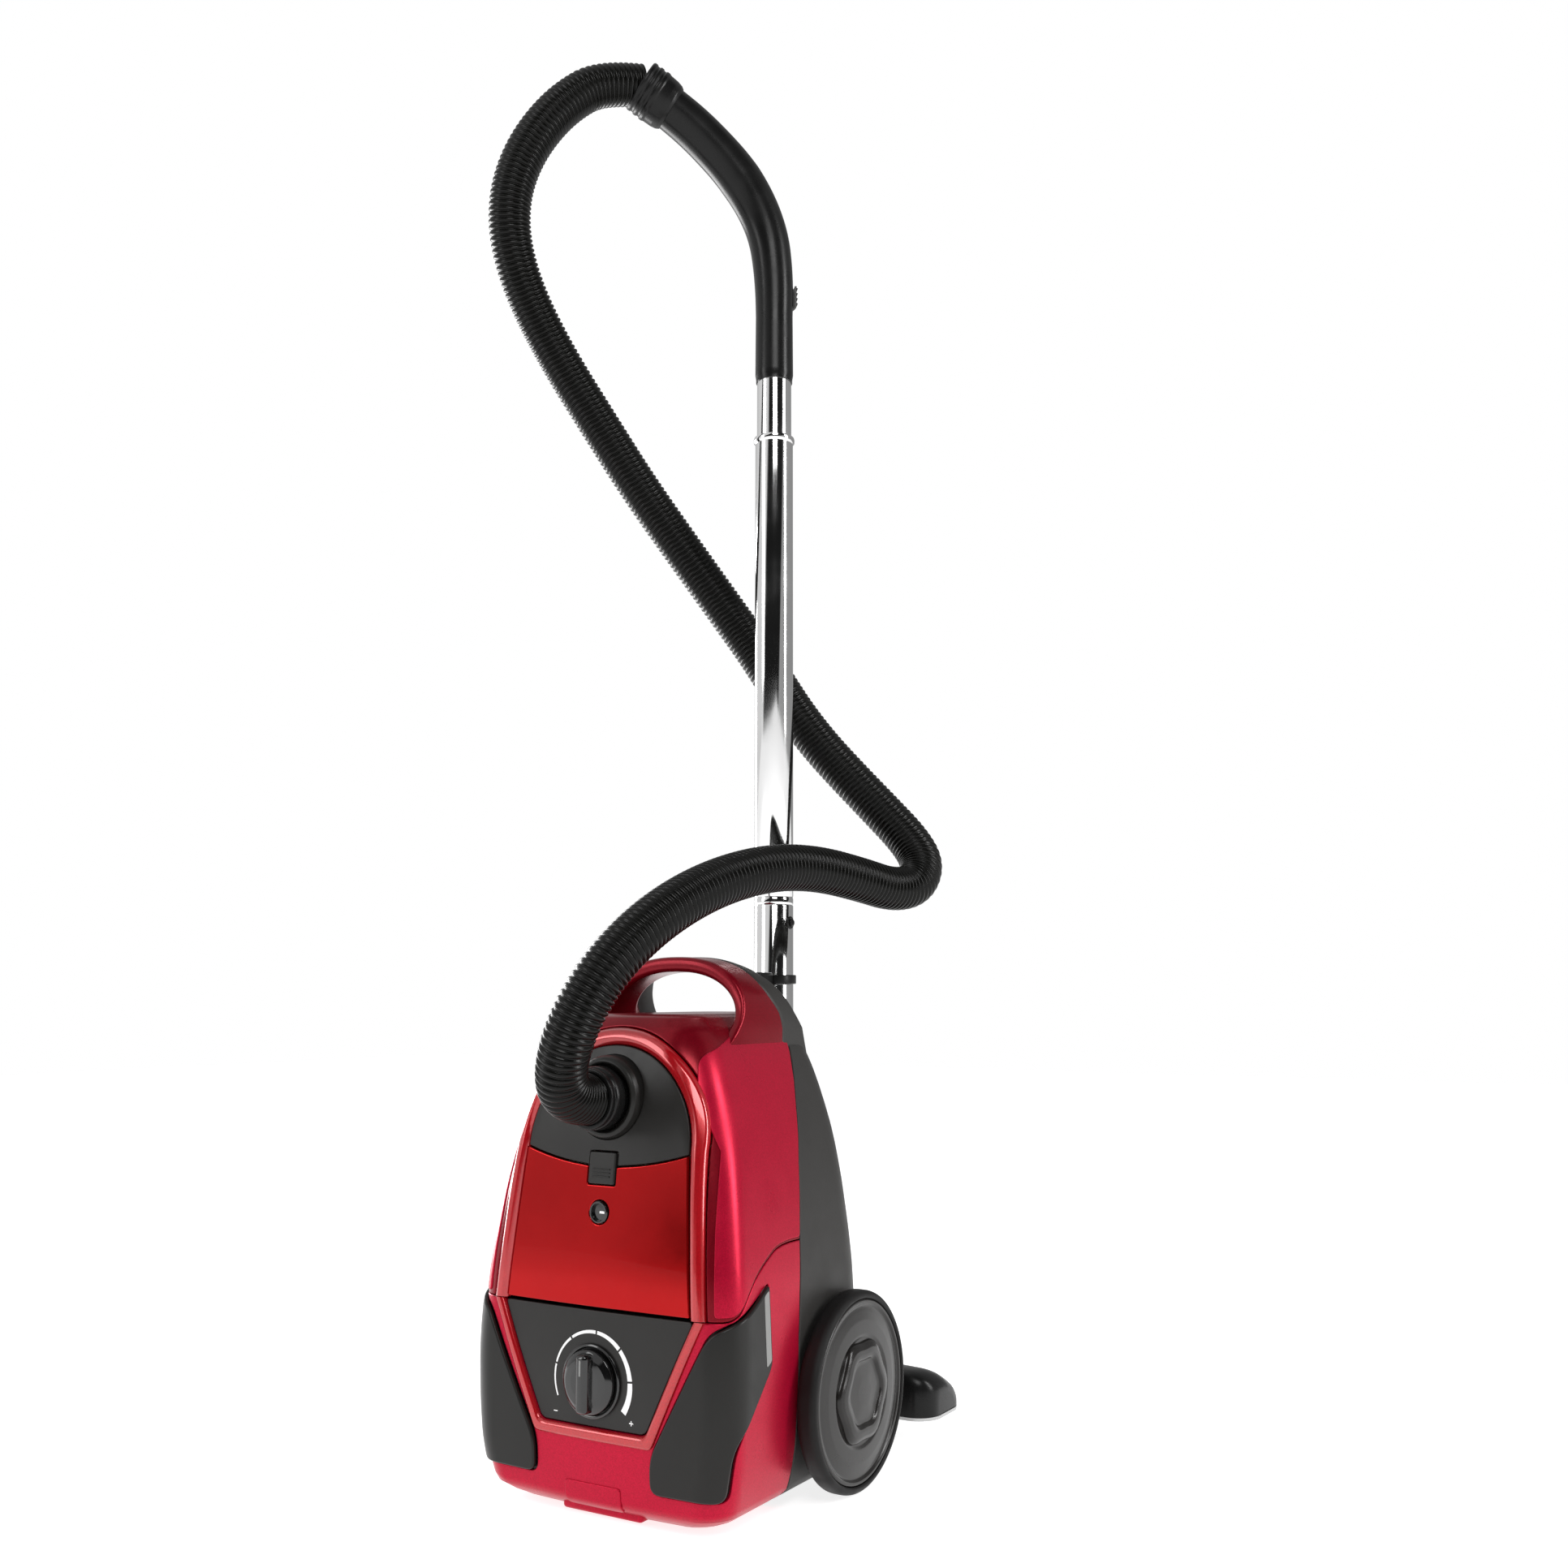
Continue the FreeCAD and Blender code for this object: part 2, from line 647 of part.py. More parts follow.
def foot_pads():
    return group(both_sides(lambda side: cyl_z(9, FLOOR_Z, BODY_LEVELS[0][0], side * 19, -82)))


def case_screws():
    screws = []
    for x, z in SCREW_PLACES:
        screws.append(cyl_y(SCREW_RADIUS, 70, FAR, x, z).common(body(-0.6)))
    return group(screws)


# ---- wheels ----
def axle(side):
    low, high = sorted((side * AXLE_IN_X, side * (WHEEL_OUT_X - 1)))
    inner, outer = sorted((side * AXLE_IN_X, side * (AXLE_IN_X + 4)))
    pin = cyl_x(AXLE_RADIUS, low, high, WHEEL_Y, WHEEL_Z)
    return fuse(pin, cyl_x(9, inner, outer, WHEEL_Y, WHEEL_Z))


def wheel_disc():
    disc = cyl_x(WHEEL_RADIUS - TYRE_THICK, WHEEL_IN_X + 3, WHEEL_OUT_X - 3, WHEEL_Y, WHEEL_Z)
    hub = cyl_x(14, WHEEL_IN_X, WHEEL_OUT_X - 3, WHEEL_Y, WHEEL_Z)
    hollow = cyl_x(WHEEL_RADIUS - TYRE_THICK - 4, 100, WHEEL_OUT_X - 6.5, WHEEL_Y, WHEEL_Z)
    wheel = fuse(disc.cut(hollow), hub)
    return wheel.cut(cyl_x(AXLE_RADIUS + RUNNING, 90, CAP_OUT_X, WHEEL_Y, WHEEL_Z))


def wheel_tyre():
    ring = cyl_x(WHEEL_RADIUS, WHEEL_IN_X + 1, WHEEL_OUT_X, WHEEL_Y, WHEEL_Z)
    outer = [e for e in ring.Edges if e.Closed and e.Length > 10]
    ring = ring.makeFillet(4.0, outer)
    return ring.cut(cyl_x(WHEEL_RADIUS - TYRE_THICK + 0.05, 100, 140, WHEEL_Y, WHEEL_Z))


def wheel_cap():
    base = V(WHEEL_OUT_X - 2.9, WHEEL_Y, WHEEL_Z)
    cap = Part.makeCone(38, 30, CAP_OUT_X - WHEEL_OUT_X + 2.9, base, X_AXIS)
    return cap.cut(cyl_x(AXLE_RADIUS + 1, WHEEL_OUT_X - 7, WHEEL_OUT_X, WHEEL_Y, WHEEL_Z))


def caster_fork():
    wheel_z = CASTER_Z - CASTER_TRAIL
    stem = cyl_y(5, 82, CASTER_PLATE_Y + 1, 0, CASTER_Z)
    plate = cyl_y(11, CASTER_PLATE_Y, CASTER_PLATE_Y + 2.4, 0, CASTER_Z)

    def arm(side):
        low, high = sorted((side * 7.0, side * 9.0))
        cheek = cyl_x(5, low, high, CASTER_WHEEL_Y, wheel_z)
        return fuse(cheek, box(low, high, CASTER_PLATE_Y + 1, CASTER_WHEEL_Y, wheel_z - 4, wheel_z + 8))

    pin = cyl_x(2, -8, 8, CASTER_WHEEL_Y, wheel_z)
    return fuse(stem, plate, pin, *both_sides(arm))


def caster_wheel():
    wheel = cyl_x(CASTER_RADIUS, -6, 6, CASTER_WHEEL_Y, CASTER_Z - CASTER_TRAIL)
    return wheel.cut(cyl_x(2 + RUNNING, -9, 9, CASTER_WHEEL_Y, CASTER_Z - CASTER_TRAIL))


# ---- hose cuff and parking bracket ----
def hose_cuff():
    sleeve = cyl_y(SLEEVE_RADIUS, SOCKET_FRONT_Y - 0.5, -86, 0, INLET_Z)
    cuff = cyl_y(CUFF_RADIUS, CUFF_FRONT_Y, SOCKET_FRONT_Y - 0.5, 0, INLET_Z)
    return fuse(sleeve, cuff).cut(cyl_y(CUFF_BORE, -FAR, 0, 0, INLET_Z))


def parking_bracket():
    block = box(-16, 16, 50, 112, 326, 352).cut(body())
    block = block.common(box(-FAR, FAR, 60, FAR, 0, 500))
    return block.cut(box(-10.8, 10.8, TONGUE_FRONT_Y - 0.8, TONGUE_BACK_Y + 0.8, 0, 500))


def parking_clip():
    ring = cyl_z(TUBE_RADIUS + 2.5, CLIP_Z - 4, CLIP_Z + 4, 0, WAND_Y)
    lug = box(-10, 10, TONGUE_FRONT_Y, WAND_Y, CLIP_Z - 9, CLIP_Z + 6)
    tongue = box(-10, 10, TONGUE_FRONT_Y, TONGUE_BACK_Y, 330, CLIP_Z)
    return fuse(ring, lug, tongue).cut(cyl_z(TUBE_RADIUS, 0, 500, 0, WAND_Y))


# ---- wand ----
def tube_z(outer, inner, z0, z1):
    return cyl_z(outer, z0, z1, 0, WAND_Y).cut(cyl_z(inner, z0, z1, 0, WAND_Y))


def lower_tube():
    tube = tube_z(TUBE_RADIUS, TUBE_RADIUS - TUBE_WALL, LOWER_TUBE_LOW_Z, TUBE_JOINT_Z)
    return tube.cut(cyl_x(BUTTON_RADIUS + 0.15, 0, 30, WAND_Y, BUTTON_Z))


def upper_tube():
    main = tube_z(TUBE_RADIUS, TUBE_RADIUS - TUBE_WALL, TUBE_JOINT_Z, UPPER_TUBE_TOP_Z)
    bead = tube_z(TUBE_RADIUS + 1.5, TUBE_RADIUS - TUBE_WALL, UPPER_TUBE_TOP_Z - 5, UPPER_TUBE_TOP_Z)
    swage_radius = TUBE_RADIUS - TUBE_WALL - 0.1
    swage = tube_z(swage_radius, swage_radius - 1, TUBE_JOINT_Z - SWAGE_LENGTH, TUBE_JOINT_Z + 1)
    shoulder = tube_z(TUBE_RADIUS - 0.5, swage_radius - 1, TUBE_JOINT_Z, TUBE_JOINT_Z + 2)
    tube = fuse(main, bead, swage, shoulder)
    return tube.cut(cyl_x(BUTTON_RADIUS + 0.15, 0, 30, WAND_Y, BUTTON_Z))


def tube_button():
    head = cyl_x(BUTTON_RADIUS, 9, 20.5, WAND_Y, BUTTON_Z)
    flange = cyl_x(5, 7, 10.5, WAND_Y, BUTTON_Z)
    return fuse(head, flange)


def grip_points():
    points = []
    for away, z in GRIP_ROUTE:
        points.append(V(GRIP_AWAY[0] * away, WAND_Y + GRIP_AWAY[1] * away, z))
    return points


def handle_grip():
    outer = tube_along(grip_points(), GRIP_RADIUS)[0]
    inner = tube_along(grip_points(), GRIP_RADIUS - 4)[0]
    grip = outer.cut(inner)
    return grip.cut(cyl_z(STUB_RADIUS, GRIP_LOW_Z - 1, GRIP_LOW_Z + 60, 0, WAND_Y))


def grip_stub():
    return tube_z(STUB_RADIUS, STUB_RADIUS - 1, UPPER_TUBE_TOP_Z - 40, GRIP_LOW_Z + 58)


def grip_collar():
    end = grip_points()[-1]
    way = (grip_points()[-2] - end).normalize()
    outer = Part.makeCylinder(GRIP_RADIUS + 5, 34, end, way)
    return outer.cut(Part.makeCylinder(GRIP_RADIUS + 0.05, 34, end, way))


def air_slider():
    away = V(-GRIP_AWAY[0], -GRIP_AWAY[1], 0)
    centre = V(0, WAND_Y, 0)
    ring = cyl_z(GRIP_RADIUS + 3.5, SLIDER_LOW_Z, SLIDER_HIGH_Z, 0, WAND_Y)
    ring = ring.cut(cyl_z(GRIP_RADIUS + 0.35, SLIDER_LOW_Z, SLIDER_HIGH_Z, 0, WAND_Y))
    keep = Part.makeBox(30, 14, 100, V(0, -7, SLIDER_LOW_Z - 40))
    keep.rotate(V(0, 0, 0), Z_AXIS, math.degrees(math.atan2(away.y, away.x)))
    keep.translate(centre)
    return ring.common(keep)


# ---- floor nozzle ----
def nozzle_neck():
    socket = cyl_z(TUBE_RADIUS + 4, 56, 118, 0, WAND_Y)
    hub = cyl_x(17, -HUB_HALF, HUB_HALF, WAND_Y, PIVOT_Z)
    neck = fuse(socket, hub)
    neck = neck.cut(cyl_z(TUBE_RADIUS, NECK_SEAT_Z, 120, 0, WAND_Y))
    neck = neck.cut(cyl_z(13, 52, NECK_SEAT_Z, 0, WAND_Y))
    return neck.cut(cyl_x(PIN_RADIUS + RUNNING, -50, 50, WAND_Y, PIVOT_Z))


def nozzle_form(shrink):
    """Head of the nozzle: a low wedge with rounded ends."""
    low = NOZZLE_LOW_Z
    profile = [
        (NOZZLE_REAR_Y + shrink, low), (NOZZLE_FRONT_Y - shrink, low),
        (NOZZLE_FRONT_Y - shrink, 16 - shrink / 2), (NOZZLE_FRONT_Y - 10 - shrink, 28 - shrink),
        (NOZZLE_REAR_Y + 36, 39 - shrink), (NOZZLE_REAR_Y + shrink, 42 - shrink),
    ]
    head = prism_x(profile, shrink - NOZZLE_HALF, NOZZLE_HALF - shrink)
    plan = box(shrink - NOZZLE_HALF, NOZZLE_HALF - shrink,
               NOZZLE_REAR_Y + shrink, NOZZLE_FRONT_Y - shrink, 0, 60)
    upright = [e for e in plan.Edges if abs(e.Vertexes[0].Z - e.Vertexes[1].Z) > 1]
    return head.common(plan.makeFillet(22 - shrink, upright))


def nozzle_body():
    def arm(side):
        low, high = sorted((side * (HUB_HALF + 1), side * (HUB_HALF + 11)))
        knuckle = cyl_x(15, low, high, WAND_Y, PIVOT_Z)
        return fuse(knuckle, box(low, high, WAND_Y, NOZZLE_REAR_Y + 2, PIVOT_Z - 15, PIVOT_Z))

    shell = fuse(nozzle_form(0), *both_sides(arm)).cut(nozzle_form(2.5))
    pocket = box(-20, 20, ROCKER_Y - 13, ROCKER_Y + 13, ROCKER_Z - 7, 60)
    floor = box(-22, 22, ROCKER_Y - 15, ROCKER_Y + 15, ROCKER_Z - 9, ROCKER_Z - 2)
    shell = fuse(shell, floor.common(nozzle_form(0))).cut(pocket)
    shell = shell.cut(cyl_x(1.5 + RUNNING, -21.9, 21.9, ROCKER_Y, ROCKER_Z - 3.5))
    return shell.cut(cyl_x(PIN_RADIUS, -50, 50, WAND_Y, PIVOT_Z))


def nozzle_pivot_pin():
    return cyl_x(PIN_RADIUS, -HUB_HALF - 10, HUB_HALF + 10, WAND_Y, PIVOT_Z)


def sole_plate():
    plate = nozzle_form(2.7).common(box(-FAR, FAR, 0, 300, NOZZLE_LOW_Z, NOZZLE_LOW_Z + 2))
    skid = nozzle_form(0).common(box(-FAR, FAR, 0, 300, NOZZLE_LOW_Z, NOZZLE_LOW_Z + 2.5))
    skid.translate(V(0, 0, SOLE_LOW_Z - NOZZLE_LOW_Z))
    plate = fuse(plate, skid)

    def roller_slot(side):
        low, high = sorted((side * 86, side * 102))
        return box(low, high, ROLLER_Y - 7.5, ROLLER_Y + 7.5, 0, 20)

    def lug(side):
        low, high = sorted((side * 103, side * 107))
        return box(low, high, ROLLER_Y - 4, ROLLER_Y + 4, 5, ROLLER_Z + 4)

    plate = fuse(plate, *both_sides(lug))
    for hole in both_sides(roller_slot):
        plate = plate.cut(hole)
    plate = plate.cut(box(-110, 110, 190, 206, 0, 20))
    plate = plate.cut(box(-122, 122, BRUSH_Y - 4, BRUSH_Y + 4, 0, 20))
    return plate.cut(cyl_x(1.5 + RUNNING, -110, 110, ROLLER_Y, ROLLER_Z))


def nozzle_rollers():
    axle_rod = cyl_x(1.5, -107, 107, ROLLER_Y, ROLLER_Z)
    wheels = both_sides(lambda side: cyl_x(6, *sorted((side * 88, side * 100)), ROLLER_Y, ROLLER_Z))
    return fuse(axle_rod, *wheels)


def nozzle_rocker():
    pad = box(-19, 19, ROCKER_Y - 12, ROCKER_Y + 12, ROCKER_Z, ROCKER_Z + 3.5)
    web = box(-8, 8, ROCKER_Y - 2.5, ROCKER_Y + 2.5, ROCKER_Z - 3.5, ROCKER_Z + 1)
    return fuse(pad, web, cyl_x(1.5, -19.5, 19.5, ROCKER_Y, ROCKER_Z - 3.5))


def brush_strip():
    return box(-120, 120, BRUSH_Y - 3, BRUSH_Y + 3, 6.8, 20)


# ---- hose ----
def hose_points():
    return [V(*point) for point in HOSE_ROUTE] + [grip_points()[-1]]


def hose():
    """Smooth tube along the route, run on into its end fittings and trimmed at their faces."""
    points = hose_points()
    points[0] = points[0] + (points[0] - points[1]).normalize() * END_PLUG
    points[-1] = points[-1] + (points[-1] - points[-2]).normalize() * END_PLUG
    outer, length, radii = tube_along(points, HOSE_RADIUS)
    outer = outer.cut(tube_along(points, HOSE_RADIUS - HOSE_WALL)[0])
    ring_area = math.pi * (HOSE_RADIUS ** 2 - (HOSE_RADIUS - HOSE_WALL) ** 2)
    share = outer.Volume / (ring_area * length)
    print("hose length mm:", round(length - 2 * END_PLUG), "volume share:", round(share, 4))
    print("hose arc radii mm:", [round(radius) for radius in radii])
    end, before = grip_points()[-1], grip_points()[-2]
    outer = outer.cut(cyl_y(2 * HOSE_RADIUS, CUFF_FRONT_Y, CUFF_FRONT_Y + 40, 0, INLET_Z))
    return outer.cut(Part.makeCylinder(2 * HOSE_RADIUS, 40, end, (before - end).normalize()))


def build():
    pedal = pedal_right()
    spring = pedal_spring()
    disc, tyre, cap = wheel_disc(), wheel_tyre(), wheel_cap()
    shapes = {
        "base_shell": base_shell(),
        "upper_housing": upper_housing(),
        "lower_housing": lower_housing(),
        "front_rim": front_rim(),
        "inlet_panel": inlet_panel(),
        "inlet_socket": inlet_socket(),
        "control_panel": control_panel(),
        "partition_wall": partition_wall(),
        "dust_bag": dust_bag(),
        "bag_collar": bag_collar(),
        "pre_motor_filter": pre_motor_filter(),
        "motor_housing": motor_housing(),
        "exhaust_filter": exhaust_filter(),
        "exhaust_grille": exhaust_grille(),
        "circuit_board": circuit_board(),
        "potentiometer": potentiometer(),
        "cord_outlet_bush": cord_outlet_bush(),
        "reel_frame": reel_frame(),
        "wheel_axles": group(both_sides(axle)),
        "lid_hinge_pin": lid_hinge_pin(),
        "lid_seal": lid_seal(),
        "parking_bracket": parking_bracket(),
        "foot_pads": foot_pads(),
        "case_screws": case_screws(),
        "latch_spring": latch_spring(),
        "pedal_spring_right": spring,
        "pedal_spring_left": mirrored(spring),
        "lid_panel": lid_panel(),
        "bag_full_window": bag_full_window(),
        "lid_latch": lid_latch(),
        "power_knob": power_knob(),
        "pedal_power": pedal,
        "pedal_rewind": mirrored(pedal),
        "wheel_disc_right": disc,
        "wheel_tyre_right": tyre,
        "wheel_cap_right": cap,
        "wheel_disc_left": mirrored(disc),
        "wheel_tyre_left": mirrored(tyre),
        "wheel_cap_left": mirrored(cap),
        "caster_fork": caster_fork(),
        "caster_wheel": caster_wheel(),
        "fan_rotor": fan_rotor(),
        "cord_reel": cord_reel(),
        "hose_cuff": hose_cuff(),
        "handle_grip": handle_grip(),
        "grip_collar": grip_collar(),
        "grip_stub": grip_stub(),
        "upper_tube": upper_tube(),
        "lower_tube": lower_tube(),
        "parking_clip": parking_clip(),
        "nozzle_neck": nozzle_neck(),
        "tube_button": tube_button(),
        "air_slider": air_slider(),
        "nozzle_body": nozzle_body(),
        "sole_plate": sole_plate(),
        "nozzle_pivot_pin": nozzle_pivot_pin(),
        "nozzle_rocker": nozzle_rocker(),
        "brush_strip": brush_strip(),
        "nozzle_rollers": nozzle_rollers(),
        "hose": hose(),
    }
    for name in NOZZLE_NODES:
        shapes[name].translate(V(0, 0, NOZZLE_LIFT))
    return shapes


def export(shapes):
    """Write one STEP per node, with the origin under the middle of the rigid parts."""
    os.makedirs("parts", exist_ok=True)
    rigid = [shape for name, shape in shapes.items() if name != "hose"]
    reach = group(rigid).BoundBox
    shift = V(0, -(reach.YMin + reach.YMax) / 2, -FLOOR_Z)
    print("origin shift mm:", round(shift.y, 3), round(shift.z, 3))
    for name, shape in shapes.items():
        shape.translate(shift)
        shape.exportStep("parts/" + name + ".step")
        print(name, len(shape.Solids), shape.isValid(), round(shape.Volume / 1000, 1))


export(build())
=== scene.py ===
import bpy
import bmesh
import json
import math
import numpy as np
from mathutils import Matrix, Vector
from mathutils.geometry import delaunay_2d_cdt

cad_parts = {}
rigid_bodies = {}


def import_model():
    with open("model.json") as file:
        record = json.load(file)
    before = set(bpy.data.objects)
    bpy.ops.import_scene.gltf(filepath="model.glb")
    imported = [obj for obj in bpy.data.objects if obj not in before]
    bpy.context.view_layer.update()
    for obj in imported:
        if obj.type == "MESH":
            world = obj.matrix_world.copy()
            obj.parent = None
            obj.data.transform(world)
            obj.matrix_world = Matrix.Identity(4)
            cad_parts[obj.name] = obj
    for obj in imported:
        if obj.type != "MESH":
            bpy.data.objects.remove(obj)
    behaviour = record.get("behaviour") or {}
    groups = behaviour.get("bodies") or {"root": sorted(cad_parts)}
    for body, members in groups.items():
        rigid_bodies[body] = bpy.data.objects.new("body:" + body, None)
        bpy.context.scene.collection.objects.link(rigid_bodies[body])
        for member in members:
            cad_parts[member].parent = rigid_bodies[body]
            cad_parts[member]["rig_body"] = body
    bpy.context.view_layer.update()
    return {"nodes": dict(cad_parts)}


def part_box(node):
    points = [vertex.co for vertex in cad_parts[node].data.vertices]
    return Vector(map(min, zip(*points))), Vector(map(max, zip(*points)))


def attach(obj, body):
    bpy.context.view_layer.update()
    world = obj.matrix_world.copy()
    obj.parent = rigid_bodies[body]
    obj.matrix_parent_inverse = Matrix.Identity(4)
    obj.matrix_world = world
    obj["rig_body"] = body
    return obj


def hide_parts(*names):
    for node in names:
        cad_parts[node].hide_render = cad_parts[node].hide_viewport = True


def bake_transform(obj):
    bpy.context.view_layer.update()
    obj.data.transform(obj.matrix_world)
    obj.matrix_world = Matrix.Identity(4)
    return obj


# Canister vacuum cleaner parked upright. Shapes are worked out in millimetres in the
# canister's own frame (front panel towards -Y) and placed in the CAD frame in metres.
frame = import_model()
MM = 0.001


def middle(node):
    low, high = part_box(node)
    return (low + high) / 2


# ---- driving sizes, in millimetres ----
WAND_Y = 138.0
LOWER_TUBE_LOW_Z = 97.0
LOWER_TUBE_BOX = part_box("lower_tube")
ORIGIN = Vector((0, middle("lower_tube").y - WAND_Y * MM, LOWER_TUBE_BOX[0].z - LOWER_TUBE_LOW_Z * MM))
SEAM_Z = 140.0
SEAM_SIDE_Z = 184.0
# seam between the red shells on the side, and the line where the grey rear shell begins, as y, z
SEAM_SIDE = [(-98, 140), (-70, 168), (-42, 182), (-25, 184)]
SPLIT_LINE = np.array([
    (-17, -60), (-18, 60), (-17, 113), (-12, 150), (-6, 184), (8, 240),
    (22, 279), (40, 322), (54, 352), (62, 380), (66, 420),
], float)
BULGE = 3.0
# level: z, half width, front y, back y, front corner radius, back corner radius
LEVELS = np.array([
    (-4, 90, -94, 76, 22, 28), (8, 107, -108, 90, 23, 34), (50, 115, -111, 96, 22, 37),
    (100, 117, -112, 98, 22, 38), (150, 115, -110, 98, 22, 38), (200, 109, -106, 97, 24, 37),
    (250, 100, -101, 95, 28, 36), (290, 88, -96, 92, 30, 34), (320, 76, -90, 88, 30, 32),
    (340, 63, -82, 82, 28, 28), (352, 49, -70, 72, 24, 24),
], float)
LOW_Z, HIGH_Z = LEVELS[0, 0], LEVELS[-1, 0]
LOW_CAP, HIGH_CAP = 80.0, 44.0     # how far t runs on across the bottom and the top
LOW_CAP_Y, HIGH_CAP_Y = -17.5, 54.0    # where the bottom and the top close up
TOP_RISE = 0.8
RIM_CENTRE_Z, RIM_RADIUS, RIM_BAND, RIM_SPREAD = 255.0, 88.0, 13.0, 9.0
LID_TOP_Z, LID_DIP_Z = 252.0, 241.0
PANEL_TOP_Z, PANEL_LOW_Z, PANEL_TOP_HALF, PANEL_LOW_HALF = 139.0, 58.0, 86.0, 47.0
PEDAL_BACK_Y = -59.0
FLOOR_Z, FOOT_X, FOOT_Y, PLINTH_HALF = -8.0, 19.0, -82.0, 36.0
PIVOT_Z = 53.0                     # nozzle hinge
HEAD_LOW_Z = 17.0                  # underside of the parked nozzle
HEAD_NEAR_Y = 165.0                # its long side nearer the wand
CLIP_Z, CLIP_TIP_Y = 380.0, 98.0   # the parking clip on the wand
# the grip bends away from the wand in this direction, up to its end at that distance and height
GRIP_AWAY, GRIP_END = (-0.593, -0.805), (134, 1203)
# control points of the hose's centre line, from the cuff to just before the grip's end
HOSE_ROUTE = [
    (0, -125, 291), (2, -145, 292), (8, -167, 304), (20, -179, 328), (34, -178, 358),
    (47, -164, 389), (58, -134, 417), (66, -92, 440), (73, -44, 457), (80, 10, 468),
    (89, 62, 470), (100, 114, 464), (109, 157, 457), (117, 186, 462), (117, 204, 482),
    (101, 209, 505), (74, 205, 534), (46, 197, 565), (19, 190, 596), (-4, 183, 628),
    (-24, 176, 662), (-41, 167, 692), (-59, 154, 723), (-90, 122, 782), (-120, 89, 841),
    (-147, 59, 901), (-169, 25, 957), (-179, -9, 1006), (-177, -34, 1045), (-170, -45, 1079),
    (-159, -46, 1110), (-144, -39, 1141), (-125, -23, 1173), (-102, 0, 1198),
]
HOSE_RADIUS = 19.0
RIB_PITCH = 4.6


def local_box(node):
    """A node's low and high corners in the canister's own frame, in millimetres."""
    low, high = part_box(node)
    return (low - ORIGIN) / MM, (high - ORIGIN) / MM


def place(x, y, z):
    """A point of the canister's own frame, in metres in the CAD frame."""
    return Vector((x * MM, y * MM, z * MM)) + ORIGIN


def grip_point(away, z):
    return (GRIP_AWAY[0] * away, WAND_Y + GRIP_AWAY[1] * away, z)


# ---------------------------------------------------------------- materials
class Look:
    """A new material, and the node set-ups that the finishes share."""

    def __init__(self, name):
        self.material = bpy.data.materials.new(name)
        self.material.use_nodes = True
        self.nodes = self.material.node_tree.nodes
        self.link = self.material.node_tree.links.new
        self.shader = self.nodes["Principled BSDF"]

    def put(self, socket, value):
        """Set a socket of the shader to a constant, or join it to another node's output."""
        if isinstance(value, bpy.types.NodeSocket):
            self.link(value, self.shader.inputs[socket])
        else:
            self.shader.inputs[socket].default_value = value

    def noise(self, scale, detail=3.0, stretch=(1, 1, 1)):
        coordinates = self.nodes.new("ShaderNodeTexCoord")
        mapping = self.nodes.new("ShaderNodeMapping")
        mapping.inputs["Scale"].default_value = stretch
        self.link(coordinates.outputs["Object"], mapping.inputs["Vector"])
        texture = self.nodes.new("ShaderNodeTexNoise")
        texture.inputs["Scale"].default_value = scale
        texture.inputs["Detail"].default_value = detail
        self.link(mapping.outputs["Vector"], texture.inputs["Vector"])
        return texture.outputs["Fac"]

    def spread(self, source, low, high):
        """The middle of a noise's range, spread from low to high."""
        ranged = self.nodes.new("ShaderNodeMapRange")
        for socket, value in (("From Min", 0.3), ("From Max", 0.7), ("To Min", low), ("To Max", high)):
            ranged.inputs[socket].default_value = value
        self.link(source, ranged.inputs["Value"])
        return ranged.outputs["Result"]

    def tint(self, source, colour, amount):
        """Colour that drifts a little darker and lighter with the source."""
        mix = self.nodes.new("ShaderNodeMix")
        mix.data_type = "RGBA"
        mix.inputs["A"].default_value = [c * (1 - amount) for c in colour] + [1]
        mix.inputs["B"].default_value = [min(1, c * (1 + amount)) for c in colour] + [1]
        self.link(source, mix.inputs["Factor"])
        return mix.outputs["Result"]

    def bump(self, source, strength, distance):
        bumped = self.nodes.new("ShaderNodeBump")
        bumped.inputs["Strength"].default_value = strength
        bumped.inputs["Distance"].default_value = distance
        self.link(source, bumped.inputs["Height"])
        self.put("Normal", bumped.outputs["Normal"])


def plastic(name, colour, rough, grain=900.0, grain_depth=0.25, coat=0.0, metal=0.0, drift=0.12,
            rough_drift=0.05, coat_rough=0.05, specular=0.5):
    """Moulded plastic: colour drifting slightly, uneven gloss, a fine moulded grain."""
    look = Look(name)
    look.put("Base Color", look.tint(look.noise(14.0, 4.0), colour, drift))
    look.put("Roughness", look.spread(look.noise(45.0, 5.0), rough - rough_drift, rough + rough_drift))
    look.put("Metallic", metal)
    look.put("Specular IOR Level", specular)
    look.put("Coat Weight", coat)
    look.put("Coat Roughness", coat_rough)
    look.bump(look.noise(grain, 2.0), grain_depth, 0.0001)
    return look.material


def metallic_red(name, colour, rough, metal=0.45, specular=0.25, coat=0.0):
    """Red plastic with metal flake in it, glossy or under a clear coat."""
    look = Look(name)
    flakes = look.nodes.new("ShaderNodeTexVoronoi")
    flakes.inputs["Scale"].default_value = 1500.0
    coordinates = look.nodes.new("ShaderNodeTexCoord")
    look.link(coordinates.outputs["Object"], flakes.inputs["Vector"])
    sparkle = look.nodes.new("ShaderNodeSeparateColor")
    look.link(flakes.outputs["Color"], sparkle.inputs["Color"])
    look.put("Base Color", look.tint(sparkle.outputs["Red"], colour, 0.14))
    look.put("Roughness", look.spread(look.noise(30.0, 5.0), rough - 0.04, rough + 0.05))
    look.put("Metallic", metal)
    look.put("Specular IOR Level", specular)
    look.put("Coat Weight", coat)
    look.put("Coat Roughness", 0.05)
    look.bump(look.noise(60.0, 1.0), 0.05, 0.0004)
    return look.material


